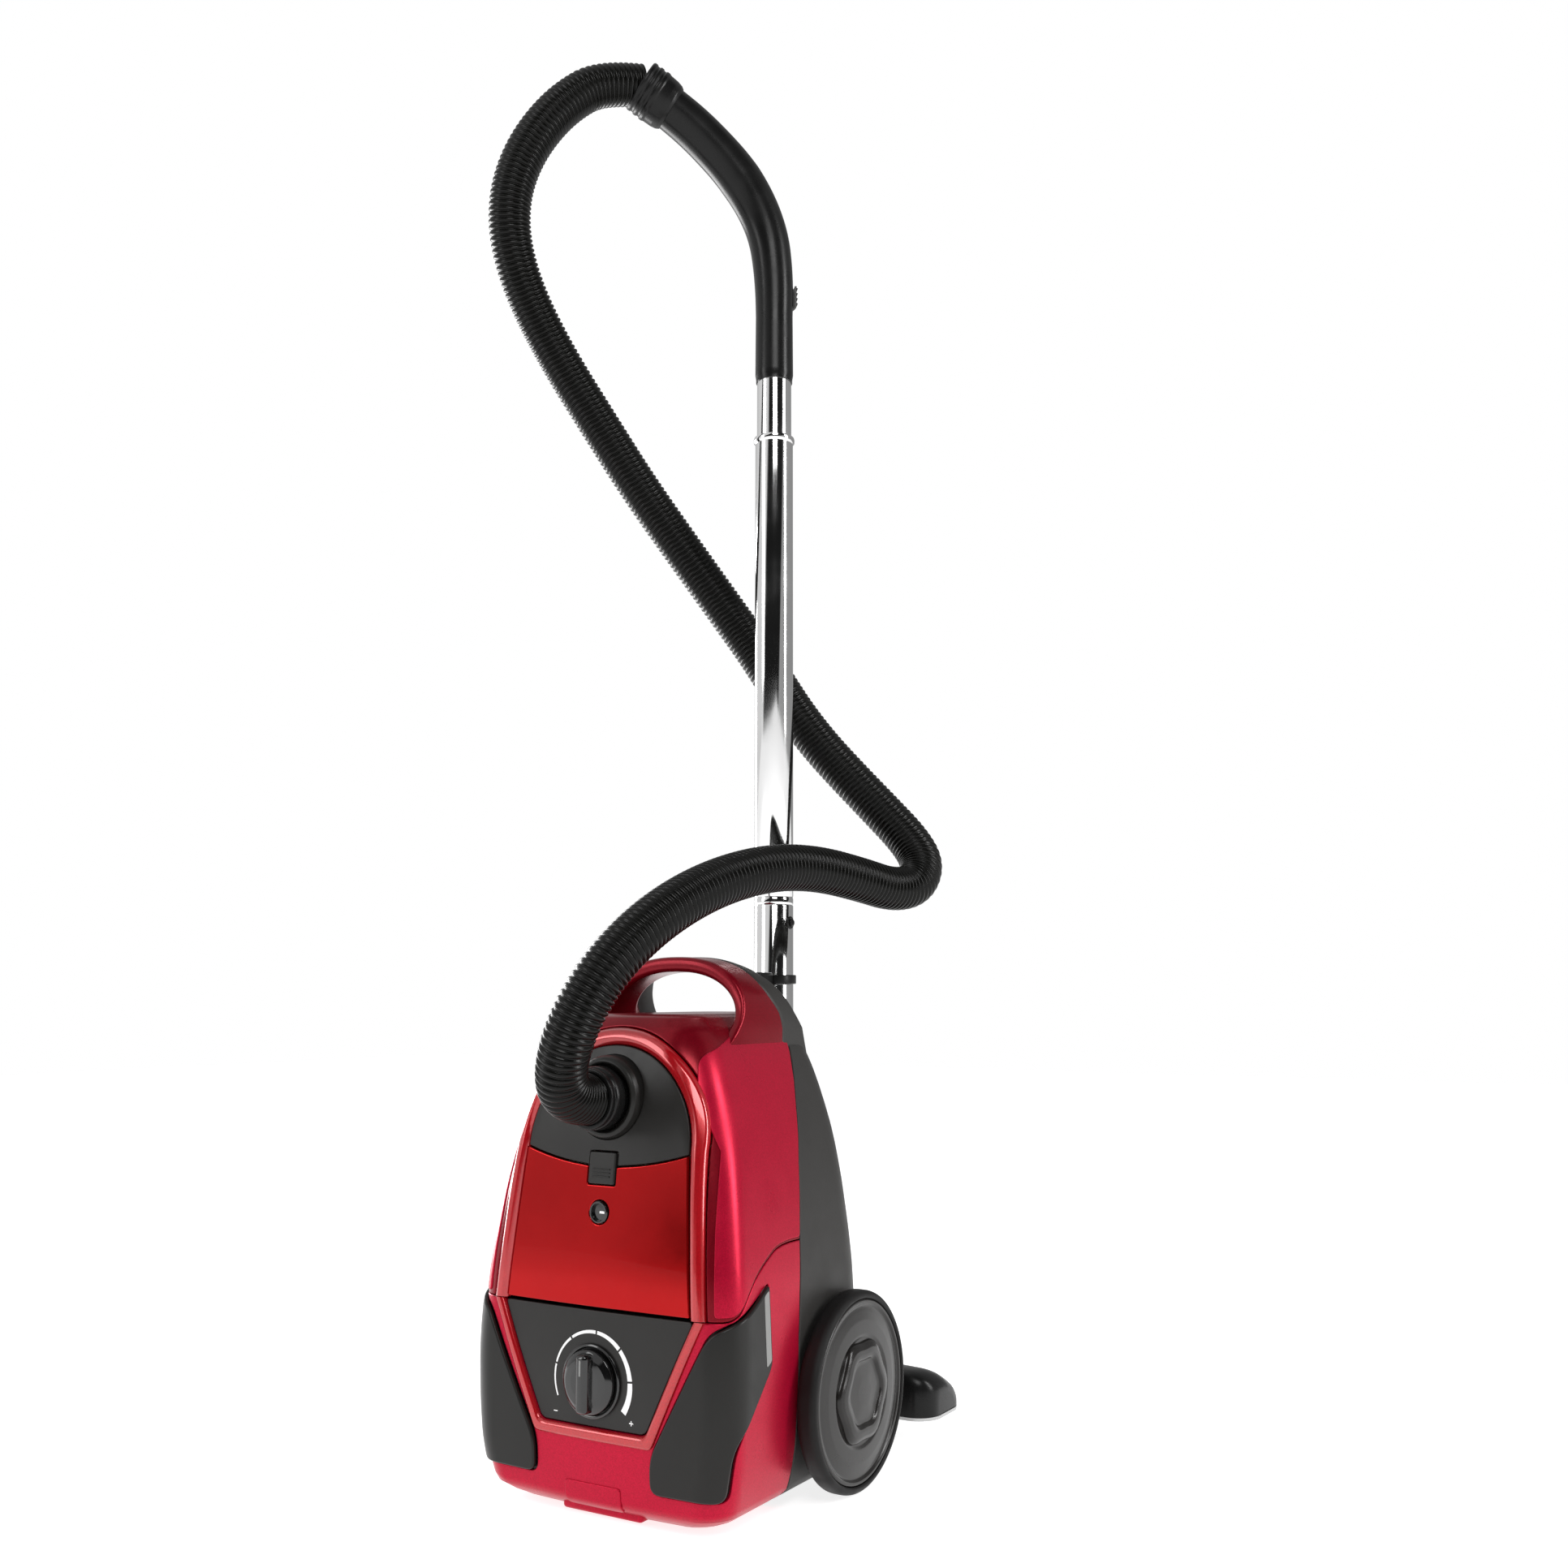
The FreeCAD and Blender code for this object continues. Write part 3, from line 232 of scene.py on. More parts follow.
def chrome_tube(name):
    """Polished chrome with hairline draw marks along the tube and faint smudges."""
    look = Look(name)
    look.put("Metallic", 1.0)
    smudge = look.noise(25.0, 6.0)
    look.put("Base Color", look.tint(smudge, (0.78, 0.78, 0.78), 0.04))
    look.put("Roughness", look.spread(smudge, 0.05, 0.13))
    look.bump(look.noise(500.0, 2.0, (1, 1, 0.02)), 0.08, 0.00004)
    return look.material


def rubber(name, colour, rough):
    look = Look(name)
    dust = look.noise(70.0, 6.0)
    look.put("Base Color", look.tint(dust, colour, 0.35))
    look.put("Roughness", look.spread(dust, rough - 0.08, rough + 0.08))
    look.put("Specular IOR Level", 0.25)
    look.bump(look.noise(1500.0, 3.0), 0.4, 0.00012)
    return look.material


def fleece(name, colour):
    """Non-woven fibre sheet: matted fibres, soft sheen."""
    look = Look(name)
    fibres = look.noise(380.0, 8.0, (1, 1, 0.25))
    look.put("Base Color", look.tint(fibres, colour, 0.18))
    look.put("Roughness", 0.92)
    look.put("Sheen Weight", 0.3)
    look.bump(fibres, 0.6, 0.0006)
    return look.material


RED_SIDE = (0.46, 0.004, 0.030)
# the second red is the first one darkened: painted shade for the upper shell's top and the handle, which
# face up
RED_PAINTED_SHADE = (0.21, 0.003, 0.011)
RED_FRONT = (0.46, 0.006, 0.012)
GREY_SHELL = (0.024, 0.0225, 0.021)
PANEL_GREY = (0.017, 0.016, 0.015)
NEAR_BLACK = (0.006, 0.006, 0.006)

MATERIAL = {
    "red": metallic_red("red_metallic", RED_SIDE, 0.30),
    # darker copy of the metallic red, painted shade
    "shaded_red": metallic_red("red_painted_shade", RED_PAINTED_SHADE, 0.24),
    "trim": metallic_red("red_trim", RED_FRONT, 0.18, metal=0.30, specular=0.6, coat=0.7),
    "lid": plastic("red_lid_gloss", (0.40, 0.004, 0.005), 0.13, coat=0.12, metal=0.8, drift=0.05,
                   rough_drift=0.03, grain_depth=0.03, coat_rough=0.02, specular=0.3),
    "grey": plastic("grey_shell", GREY_SHELL, 0.48, grain=1400.0, grain_depth=0.6, specular=0.35),
    "panel": plastic("panel_charcoal", PANEL_GREY, 0.38, grain=1600.0, grain_depth=0.35, specular=0.3),
    "pedal": plastic("pedal_charcoal", (0.012, 0.0115, 0.0105), 0.34, grain=1500.0, grain_depth=0.3,
                     specular=0.26),
    "black": plastic("black_plastic", NEAR_BLACK, 0.28, grain=1300.0, grain_depth=0.25, specular=0.22),
    "gloss_black": plastic("black_gloss", (0.005, 0.005, 0.005), 0.12, coat=0.4, grain_depth=0.05),
    "wheel": plastic("wheel_charcoal", (0.010, 0.0087, 0.008), 0.24, grain=1200.0, grain_depth=0.3,
                     specular=0.4),
    "strip": plastic("pedal_strip", (0.24, 0.24, 0.235), 0.45, grain=1500.0),
    # white for the dial print, and for the painted highlight in the bag window
    "mark": plastic("white_print_and_glint", (0.9, 0.9, 0.9), 0.5, drift=0.02),
    "hose": plastic("hose_black", (0.0025, 0.0025, 0.002), 0.26, grain=1100.0, grain_depth=0.3, drift=0.25,
                    specular=0.18),
    "chrome": chrome_tube("chrome"),
    "steel": plastic("zinc_steel", (0.5, 0.5, 0.5), 0.3, metal=1.0, grain=400.0),
    "tyre": rubber("tyre_rubber", (0.0055, 0.005, 0.005), 0.55),
    "seal": rubber("foam_seal", (0.02, 0.02, 0.02), 0.85),
    "inner": plastic("inner_plastic", (0.05, 0.05, 0.05), 0.55, grain=700.0, grain_depth=0.5),
    "board": plastic("circuit_board", (0.01, 0.10, 0.04), 0.4, grain=300.0),
    "bag": fleece("bag_fleece", (0.62, 0.59, 0.52)),
    "filter": fleece("filter_fleece", (0.75, 0.75, 0.74)),
    "bristle": fleece("bristle", (0.02, 0.02, 0.02)),
    "motor": plastic("motor_metal", (0.45, 0.45, 0.45), 0.35, metal=1.0, grain=250.0),
}


# ---------------------------------------------------------------- mesh helpers
def shown(name, mesh, material, body=None):
    obj = bpy.data.objects.new(name, mesh)
    bpy.context.scene.collection.objects.link(obj)
    mesh.materials.append(material)
    if body:
        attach(obj, body)
    return obj


def smooth_mesh(name, work):
    """The bmesh as a smooth-shaded mesh. Frees the bmesh."""
    mesh = bpy.data.meshes.new(name)
    work.to_mesh(mesh)
    work.free()
    for polygon in mesh.polygons:
        polygon.use_smooth = True
    return mesh


def mesh_object(name, verts, faces, material, body=None, corner_normals=None):
    mesh = bpy.data.meshes.new(name)
    mesh.from_pydata([tuple(v) for v in verts], [], [tuple(int(i) for i in f) for f in faces])
    mesh.validate()
    for polygon in mesh.polygons:
        polygon.use_smooth = True
    if corner_normals is not None and len(corner_normals) == len(mesh.loops):
        mesh.normals_split_custom_set([tuple(n) for n in corner_normals])
    return shown(name, mesh, MATERIAL[material], body)


def stand_for(obj, slot, *nodes):
    if nodes:
        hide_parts(*nodes)


def grid_faces(rows, size, closed=True):
    """Quads between rows of points, each row of that size, closed round unless told otherwise."""
    faces = []
    for row in range(rows - 1):
        for k in range(size if closed else size - 1):
            a, b = row * size + k, row * size + (k + 1) % size
            faces.append((a, b, b + size, a + size))
    return faces


def circle(radius, z, count, x=0.0):
    return [(x + radius * math.cos(v), z + radius * math.sin(v))
            for v in np.linspace(0, 2 * math.pi, count, endpoint=False)]


def bend(before, corner, after, radius, steps):
    """Points of a smooth bend, at most that radius, in place of a corner."""
    p0, p1, p2 = (np.array(p[:2], float) for p in (before, corner, after))
    back, ahead = p0 - p1, p2 - p1
    back_length, ahead_length = np.linalg.norm(back), np.linalg.norm(ahead)
    reach = min(radius, 0.45 * back_length, 0.45 * ahead_length)
    start = p1 + back * reach / max(back_length, 1e-9)
    end = p1 + ahead * reach / max(ahead_length, 1e-9)
    return [start * (1 - s) ** 2 + p1 * 2 * s * (1 - s) + end * s * s
            for s in np.linspace(0, 1, steps + 1)]


def turned(profile, centre, axis, segments):
    """Verts and faces of a profile of (radius, along) points turned about an axis, in metres."""
    axis = Vector(axis).normalized()
    across = Vector((0, 0, 1)) - axis * axis.z
    if across.length < 1e-6:
        across = axis.orthogonal()
    across.normalize()
    other = axis.cross(across)
    verts = []
    for radius, along in profile:
        for k in range(segments):
            angle = 2 * math.pi * k / segments
            arm = across * math.cos(angle) + other * math.sin(angle)
            verts.append(Vector(centre) + axis * (along * MM) + arm * (radius * MM))
    return verts, grid_faces(len(profile), segments)


def crisp(obj, degrees=35.0):
    """Smooth shading that breaks at sharp edges."""
    mesh = obj.data
    work = bmesh.new()
    work.from_mesh(mesh)
    bmesh.ops.remove_doubles(work, verts=work.verts, dist=1e-6)
    bmesh.ops.recalc_face_normals(work, faces=work.faces)
    for edge in work.edges:
        if len(edge.link_faces) == 2:
            edge.smooth = edge.calc_face_angle(0) < math.radians(degrees)
    work.to_mesh(mesh)
    work.free()
    return obj


def rounded_profile(points, radius):
    """Open polyline of (radius, along) with its inner corners rounded."""
    result = [points[0]]
    for before, corner, after in zip(points, points[1:], points[2:]):
        result += [tuple(p) for p in bend(before, corner, after, radius, 4)]
    return result + [points[-1]]


def lathe(name, profile, centre, axis, material, body, rounding=0.0, segments=72):
    if rounding:
        profile = rounded_profile(profile, rounding)
    profile = [(max(r, 0.0), along) for r, along in profile]
    verts, faces = turned(profile, centre, axis, segments)
    return crisp(mesh_object(name, verts, faces, material, body))


def soft_box(name, low, high, radius, material, body, segments=3, shape=None):
    """Box between two corners in metres, with rounded edges. shape may move its points first."""
    work = bmesh.new()
    bmesh.ops.create_cube(work, size=1.0)
    low, high = Vector(low), Vector(high)
    for vert in work.verts:
        share = vert.co + Vector((0.5, 0.5, 0.5))
        vert.co = Vector(low[i] + (high[i] - low[i]) * share[i] for i in range(3))
        if shape:
            vert.co = shape(vert.co)
    bmesh.ops.bevel(work, geom=work.edges[:], offset=radius * MM, segments=segments, profile=0.5,
                    affect="EDGES", clamp_overlap=True)
    return crisp(shown(name, smooth_mesh(name, work), MATERIAL[material], body), 50)


def joined(name, objects):
    """Several meshes as one piece, keeping the first one's body and material."""
    work = bmesh.new()
    for obj in objects:
        mesh = obj.data.copy()
        mesh.transform(obj.matrix_world)
        work.from_mesh(mesh)
    material = objects[0].data.materials[0]
    body = objects[0].get("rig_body")
    for obj in objects:
        bpy.data.objects.remove(obj)
    return shown(name, smooth_mesh(name, work), material, body)


# ---------------------------------------------------------------- canister form
def level_values(z):
    """Half width, front, back and corner radii at heights z, smoothly between levels."""
    z = np.clip(np.asarray(z, float), LOW_Z, HIGH_Z)
    heights = LEVELS[:, 0]
    step = np.diff(heights)
    index = np.clip(np.searchsorted(heights, z, side="right") - 1, 0, len(step) - 1)
    share = (z - heights[index]) / step[index]
    values = []
    for column in range(1, LEVELS.shape[1]):
        data = LEVELS[:, column]
        slope = np.diff(data) / step
        tangent = np.zeros(len(data))
        tangent[1:-1] = np.where(slope[:-1] * slope[1:] > 0,
                                 2 * slope[:-1] * slope[1:] / (slope[:-1] + slope[1:] + 1e-12), 0)
        tangent[0], tangent[-1] = slope[0] * 1.3, slope[-1] * 1.1
        h = step[index]
        s2, s3 = share ** 2, share ** 3
        values.append((2 * s3 - 3 * s2 + 1) * data[index] + (s3 - 2 * s2 + share) * h * tangent[index]
                      + (3 * s2 - 2 * s3) * data[index + 1] + (s3 - s2) * h * tangent[index + 1])
    return values


def side_marks(z):
    """Path lengths where the front corner starts and ends, and where the back corner does."""
    half, front, back, front_round, back_round = level_values(z)
    c1 = half - front_round
    c2 = c1 + front_round * math.pi / 2
    c3 = c2 + (back - front - front_round - back_round)
    return c1, c2, c3, c3 + back_round * math.pi / 2


def girth(z):
    """Path length from the front's middle to the back's middle."""
    half, *_, back_round = level_values(z)
    return side_marks(z)[3] + half - back_round


def section(a, z):
    """X and Y at path length a round the section from the front's middle."""
    half, front, _, front_round, back_round = level_values(z)
    c1, c2, c3, c4 = side_marks(z)
    side = np.sign(a) + (a == 0)
    a = np.abs(a)
    turn1 = np.clip((a - c1) / front_round, 0, math.pi / 2)
    turn2 = np.clip((a - c3) / back_round, 0, math.pi / 2)
    x = np.minimum(a, c1) + front_round * np.sin(turn1)
    x = np.where(a > c3, half - back_round + back_round * np.cos(turn2), x)
    x = np.where(a > c4, half - back_round - (a - c4), x)
    y = front + front_round * (1 - np.cos(turn1)) + np.clip(a - c2, 0, c3 - c2)
    y = y + back_round * np.sin(turn2)
    bow = np.clip(1 - (a / np.maximum((c1 + c2) / 2, 1)) ** 2, 0, None)
    y = y - BULGE * bow ** 1.5
    return x * side, y


def front_surface(a, t):
    """Outer form: a round the section, t up the side and on across the top and the bottom."""
    a, t = np.asarray(a, float), np.asarray(t, float)
    z = np.clip(t, LOW_Z, HIGH_Z)
    x, y = section(a, z)
    least = 0.012                       # the caps stop just short of closing to a point
    shrink = np.clip(1 - (t - HIGH_Z) / HIGH_CAP, least, 1) * np.clip(1 - (LOW_Z - t) / LOW_CAP, least, 1)
    rise = np.where(t > HIGH_Z, TOP_RISE * (1 - shrink ** 2), 0)
    cap_y = np.where(t > HIGH_Z, HIGH_CAP_Y, LOW_CAP_Y)
    return np.stack([x * shrink, cap_y + (y - cap_y) * shrink, z + rise], -1)


def back_surface(b, t):
    """As front_surface, with b counted from the back's middle, positive to the right."""
    b = np.asarray(b, float)
    a = girth(t) - np.abs(b)
    side = np.sign(b) + (b == 0)
    points = front_surface(a, t)
    points[..., 0] *= side
    return points


def surface_normal(surface, a, t):
    step = 0.4
    across = surface(a + step, t) - surface(a - step, t)
    up = surface(a, t + step) - surface(a, t - step)
    normal = np.cross(across, up)
    length = np.linalg.norm(normal, axis=-1, keepdims=True)
    normal = normal / np.maximum(length, 1e-9)
    return -normal if surface is back_surface else normal


def at_x(x, z):
    """Path length on the front at sideways distance x."""
    half, _, _, front_round, _ = (float(v) for v in level_values(z))
    flat = half - front_round
    size = abs(x)
    if size > flat:
        size = flat + front_round * math.asin(min(1.0, (size - flat) / front_round))
    return math.copysign(size, x)


def at_side(y, z):
    """Path length round the right side at depth y."""
    _, front, back, front_round, back_round = (float(v) for v in level_values(z))
    c1, c2, c3, _ = (float(v) for v in side_marks(z))
    if y < front + front_round:
        return c1 + front_round * math.acos(max(-1.0, 1 - (y - front) / front_round))
    if y <= back - back_round:
        return c2 + (y - front - front_round)
    return c3 + back_round * math.asin(min(1.0, (y - back + back_round) / back_round))


def split_y(z):
    return float(np.interp(z, SPLIT_LINE[:, 1], SPLIT_LINE[:, 0]))


# ---------------------------------------------------------------- moulded panels
def area_of(loop):
    x, y = loop[:, 0], loop[:, 1]
    return 0.5 * float(np.sum(x * np.roll(y, -1) - np.roll(x, -1) * y))


def filleted(points, radius):
    """Closed outline with corners rounded. A point may carry its own radius."""
    count = len(points)
    result = []
    for i in range(count):
        own = points[i][2] if len(points[i]) > 2 else radius
        before, corner, after = (points[(i + d) % count] for d in (-1, 0, 1))
        p0, p1, p2 = (np.array(p[:2], float) for p in (before, corner, after))
        back, ahead = p0 - p1, p2 - p1
        lengths = np.linalg.norm(back), np.linalg.norm(ahead)
        straight = back @ ahead / (lengths[0] * lengths[1] + 1e-12) < -0.995
        if straight or min(own, 0.45 * min(lengths)) < 0.15:
            result.append(p1)
        else:
            result += bend(before, corner, after, own, 5)
    return np.array(result)


def resampled(loop, step):
    points = []
    for i in range(len(loop)):
        p, q = loop[i], loop[(i + 1) % len(loop)]
        pieces = max(1, int(math.ceil(np.linalg.norm(q - p) / step)))
        for k in range(pieces):
            points.append(p + (q - p) * k / pieces)
    return np.array(points)


def outward(loop):
    """Unit normals pointing out of a counter-clockwise loop."""
    edge = np.roll(loop, -1, 0) - loop
    edge = edge / np.maximum(np.linalg.norm(edge, axis=1, keepdims=True), 1e-9)
    normal = np.stack([edge[:, 1], -edge[:, 0]], 1)
    both = normal + np.roll(normal, 1, 0)
    both = both / np.maximum(np.linalg.norm(both, axis=1, keepdims=True), 1e-9)
    cosine = np.clip(np.sum(both * normal, 1), 0.5, 1)
    return both / cosine[:, None]


def inside(points, loops):
    """True where a point is inside an odd number of loops."""
    hit = np.zeros(len(points), bool)
    for loop in loops:
        x0, y0 = loop[:, 0], loop[:, 1]
        x1, y1 = np.roll(x0, -1), np.roll(y0, -1)
        px, py = points[:, 0:1], points[:, 1:2]
        crosses = (y0 > py) != (y1 > py)
        with np.errstate(divide="ignore", invalid="ignore"):
            x_at = x0 + (py - y0) * (x1 - x0) / (y1 - y0)
        hit ^= (np.sum(crosses & (px < x_at), axis=1) % 2).astype(bool)
    return hit


def filled(loops, step, apart):
    """Triangles over loops, with inner points on a grid: vertices, triangles, and a number for
    each of the loops' points, in order."""
    rim = np.concatenate(loops)
    low, high = rim.min(0), rim.max(0)
    grid = np.stack(np.meshgrid(np.arange(low[0] + step / 2, high[0], step),
                                np.arange(low[1] + step / 2, high[1], step)), -1).reshape(-1, 2)
    grid = grid[inside(grid, loops)]
    near = np.array([np.min(np.sum((rim - spot) ** 2, 1)) for spot in grid])
    flat = np.concatenate([rim, grid[near > apart ** 2]])
    edges, base = [], 0
    for loop in loops:
        count = len(loop)
        edges += [(base + k, base + (k + 1) % count) for k in range(count)]
        base += count
    vertices, _, triangles, origin, _, _ = delaunay_2d_cdt([Vector(p) for p in flat], edges, [], 0, 1e-7)
    vertices = np.array([tuple(v) for v in vertices])
    triangles = np.array([t for t in triangles if len(t) == 3])
    triangles = triangles[inside(vertices[triangles].mean(1), loops)]
    number = {source: new for new, sources in enumerate(origin) for source in sources}
    return vertices, triangles, number


def panel(name, outline, material, body, proud=0.0, sink=3.0, edge=1.0, corner=2.0, step=4.0,
          holes=(), surface=front_surface, edge_step=2.5, cut=(-math.inf, math.inf)):
    """A moulded skin piece: an outline on the canister's form, raised, with rounded edges.

    With cut, the piece is cut off flat below and above those heights."""
    loops = []
    for points in (outline, *holes):
        loop = resampled(filleted(points, corner), edge_step)
        anticlockwise = area_of(loop) > 0
        loops.append(loop if anticlockwise == (points is outline) else loop[::-1])
    normals = [outward(loop) for loop in loops]
    inner = [loop - normal * edge for loop, normal in zip(loops, normals)]
    vertices, triangles, number = filled(inner, step, 0.55 * min(step, edge_step + 1))
    vertices[:, 1] = np.clip(vertices[:, 1], *cut)

    # the front face, then the back face
    total = back_start = len(vertices)
    ground, top_normal = surface(*vertices.T), surface_normal(surface, *vertices.T)
    points, point_normals = [ground + top_normal * proud], [top_normal]
    faces = [tuple(t) for t in triangles]
    points.append(ground - top_normal * sink)
    point_normals.append(-top_normal)
    faces += [tuple(t[::-1] + back_start) for t in triangles]
    total += back_start
    # rings round each loop: over the rounded edge and down the skirt
    closing, base, arc_steps = [], 0, 4
    for loop, normal, small in zip(loops, normals, inner):
        count = len(loop)
        top_ring = [number[base + k] for k in range(count)]
        base += count
        previous = top_ring
        frame_normal = surface_normal(surface, *loop.T)
        sideways = surface(*(loop + normal * 0.3).T) - surface(*loop.T)
        sideways /= np.maximum(np.linalg.norm(sideways, axis=1, keepdims=True), 1e-9)
        for ring_step in range(1, arc_steps + 2):
            if ring_step <= arc_steps:
                angle = math.pi / 2 * ring_step / arc_steps
                spot = small + (loop - small) * math.sin(angle)
                height = proud - edge * (1 - math.cos(angle))
                ring_normal = frame_normal * math.cos(angle) + sideways * math.sin(angle)
            else:
                spot, height, ring_normal = loop, -sink, sideways
            spot = np.stack([spot[:, 0], np.clip(spot[:, 1], *cut)])
            points.append(surface(*spot) + surface_normal(surface, *spot) * height)
            point_normals.append(ring_normal)
            ring = [total + k for k in range(count)]
            total += count
            faces += joining(previous, ring)
            previous = ring
        closing += joining(previous, [i + back_start for i in top_ring])
    points, point_normals = np.concatenate(points), np.concatenate(point_normals)
    if surface is back_surface:
        faces, closing = [f[::-1] for f in faces], [f[::-1] for f in closing]
    corner_normals = [point_normals[i] for face in faces for i in face]
    # a zero leaves the corner's own normal, for a sharp edge at the foot of the skirt
    corner_normals += [point_normals[i] * (i < 2 * back_start) for face in closing for i in face]
    verts = points * MM + np.array(ORIGIN)
    return mesh_object(name, verts, faces + closing, material, body, corner_normals)


def joining(one, other):
    """Quads between two rings of point numbers."""
    return list(zip(one, other, other[1:] + other[:1], one[1:] + one[:1]))


def rectangle(x, z0, z1):
    return [(-x, z0), (x, z0), (x, z1), (-x, z1)]


def rim_outline(shrink, foot_z=SEAM_Z, steps=40):
    """Half circle on slightly spreading legs, from the right foot over to the left foot."""
    radius = RIM_RADIUS - shrink
    foot = radius + RIM_SPREAD
    points = [(at_x(foot, foot_z), foot_z)]
    for z in np.linspace(foot_z, RIM_CENTRE_Z, 12)[1:-1]:
        share = (z - foot_z) / (RIM_CENTRE_Z - foot_z)
        points.append((at_x(foot - RIM_SPREAD * share, z), z))
    for k in range(steps + 1):
        angle = math.pi * k / steps
        z = RIM_CENTRE_Z + radius * math.sin(angle)
        points.append((at_x(radius * math.cos(angle), z), z))
    left = [(-a, t) for a, t in points[:11]][::-1]
    return points + left


def seam_line(drop):
    """Seam between the red shells on the right side, from the front back to the split."""
    points = [(at_side(y, z - drop), z - drop, 16) for y, z in SEAM_SIDE]
    last = SEAM_SIDE_Z - drop
    return points + [(at_side(split_y(last) - 0.4, last), last)]


def split_line(low, high, gap=0.4):
    points = []
    for t in np.arange(low, high, 6.0):
        z = min(max(t, LOW_Z), HIGH_Z)
        points.append((at_side(split_y(z) - gap, z), t))
    return points


def side_facets():
    """The upper shell's sides stand a little proud, up to a crease under the top. They keep the plain red;
    the shell above the crease has a darker copy of the same red, as painted shade.
    """
    front = ((102, 143, 3), (98, 200, 1.5), (93.5, 255, 1.5))
    crease = ((-91, 290, 12), (-80, 321, 8), (-50, 331, 1.5), (-21, 340, 1.5), (16, 347, 1.5),
              (44, 350, 5))
    rear = tuple((split_y(z) - 1.4, z, 1.5) for z in (338, 322, 300, 279, 260, 240, 215))
    low = ((split_y(186) - 1.4, 186, 3), (-26, 186, 14), (-43, 184, 14), (-71, 170, 14), (-97, 143, 8))
    outline = [(at_x(x, z), z, radius) for x, z, radius in front]
    outline += [(at_side(y, z), z, radius) for y, z, radius in crease + rear + low]
    for side, word in ((1, "right"), (-1, "left")):
        sided = outline if side > 0 else mirror_points(outline)
        obj = panel("side_facet_" + word, sided, "red", "canister", 0.9, 0.5, edge=0.9, step=5.0)
        stand_for(obj, "red_shell")


def mirror_points(points):
    return [(-p[0],) + tuple(p[1:]) for p in points][::-1]


def panel_corners(grow, top, spread_out=0.0):
    high, low = PANEL_TOP_HALF + grow + spread_out, PANEL_LOW_HALF + grow * 0.6
    return [(high, top), (low, PANEL_LOW_Z - grow, 5), (-low, PANEL_LOW_Z - grow, 5), (-high, top)]


SHELL = {"edge": 0.9, "corner": 0.8, "step": 5.0}      # mesh settings that the three shells share


def upper_housing():
    right = seam_line(-0.4) + split_line(SEAM_SIDE_Z + 6, HIGH_Z + HIGH_CAP - 1)
    right.append((right[-1][0], HIGH_Z + HIGH_CAP - 0.5))
    window = rim_outline(-0.3, SEAM_Z + 0.4)
    outline = [window[0]] + right + mirror_points(right) + window[::-1][:-1]
    # the upper shell takes the darker copy of the red: painted shade on its top
    obj = panel("upper_shell", outline, "shaded_red", "canister", **SHELL)
    stand_for(obj, "red_shell", "upper_housing")


def pedal_outline(grow, rear=0.0):
    """Foot pedal on the right: a post up the front corner, swept back into a broad wing on the side."""
    back = PEDAL_BACK_Y + grow + rear
    return [
        (at_x(52 - grow, 20), 20 - grow, 8), (at_side(-100 + grow + rear, 20), 20 - grow, 8),
        (at_side(-100 + grow + rear, 56), 56 - grow, 10), (at_side(back, 104), 104 - grow, 6),
        (at_side(back, 160), 160 + grow, 4), (at_side(-80, 147), 147 + grow, 16),
        (at_x(100 - grow, 132), 132 + grow, 8), (at_x(52 - grow, 44), 44 + grow / 2, 10),
    ]


def lower_housing():
    right = [(at_x(PANEL_TOP_HALF + 11.5, SEAM_Z), SEAM_Z - 0.4)] + seam_line(0.4)
    right += split_line(LOW_Z - LOW_CAP + 1, SEAM_SIDE_Z - 4)[::-1]
    window = panel_corners(0.4, SEAM_Z - 0.4)
    outline = right + mirror_points(right) + window[::-1]
    pocket = pedal_outline(0.9, 2.2)
    holes = [pocket, mirror_points(pocket)]
    obj = panel("lower_shell", outline, "red", "canister", holes=holes, **SHELL)
    stand_for(obj, "red_shell", "lower_housing")


def base_shell():
    right = []
    for t in np.arange(LOW_Z - LOW_CAP + 1, HIGH_Z + HIGH_CAP - 0.5, 6.0):
        z = min(max(t, LOW_Z), HIGH_Z)
        right.append((float(girth(z)) - at_side(split_y(z) + 0.4, z), t))
    low, high = local_box("exhaust_grille")
    holes = [rectangle(high.x, low.z, high.z)]
    obj = panel("rear_shell", right + mirror_points(right), "grey", "canister", holes=holes,
                surface=back_surface, **SHELL)
    stand_for(obj, "grey_shell", "base_shell")


def front_trim():
    past = 9.0                          # both run past the seam and are cut off flat at it
    outer = rim_outline(0.2, SEAM_Z - past)
    inner = rim_outline(RIM_BAND, SEAM_Z - past)
    rim = panel("front_rim_trim", outer + inner[::-1], "trim", "canister", proud=3.2, edge=5.6,
                corner=5.8, step=3.0, cut=(SEAM_Z + 0.4, HIGH_Z))
    stand_for(rim, "red_trim", "front_rim")
    rise = past * (PANEL_TOP_HALF - PANEL_LOW_HALF) / (PANEL_TOP_Z - PANEL_LOW_Z)
    wide = panel_corners(9.5, SEAM_Z + past, rise)
    narrow = panel_corners(0.5, SEAM_Z + past, rise)
    band = panel("panel_band", wide + narrow[::-1], "trim", "canister", proud=2.6, sink=1.0, edge=3.4,
                 corner=4.0, step=3.0, cut=(LOW_Z, SEAM_Z - 0.4))
    stand_for(band, "red_trim")


def lid_edge(lift, half):
    points = []
    for k in range(17):
        share = 1 - 2 * k / 16
        z = LID_DIP_Z + (LID_TOP_Z - LID_DIP_Z) * share * share + lift
        points.append((at_x(half * share, z), z))
    return points


def opening_half(z):
    rise = (z - SEAM_Z) / (RIM_CENTRE_Z - SEAM_Z)
    return RIM_RADIUS - RIM_BAND + RIM_SPREAD * (1 - rise) - 1.0


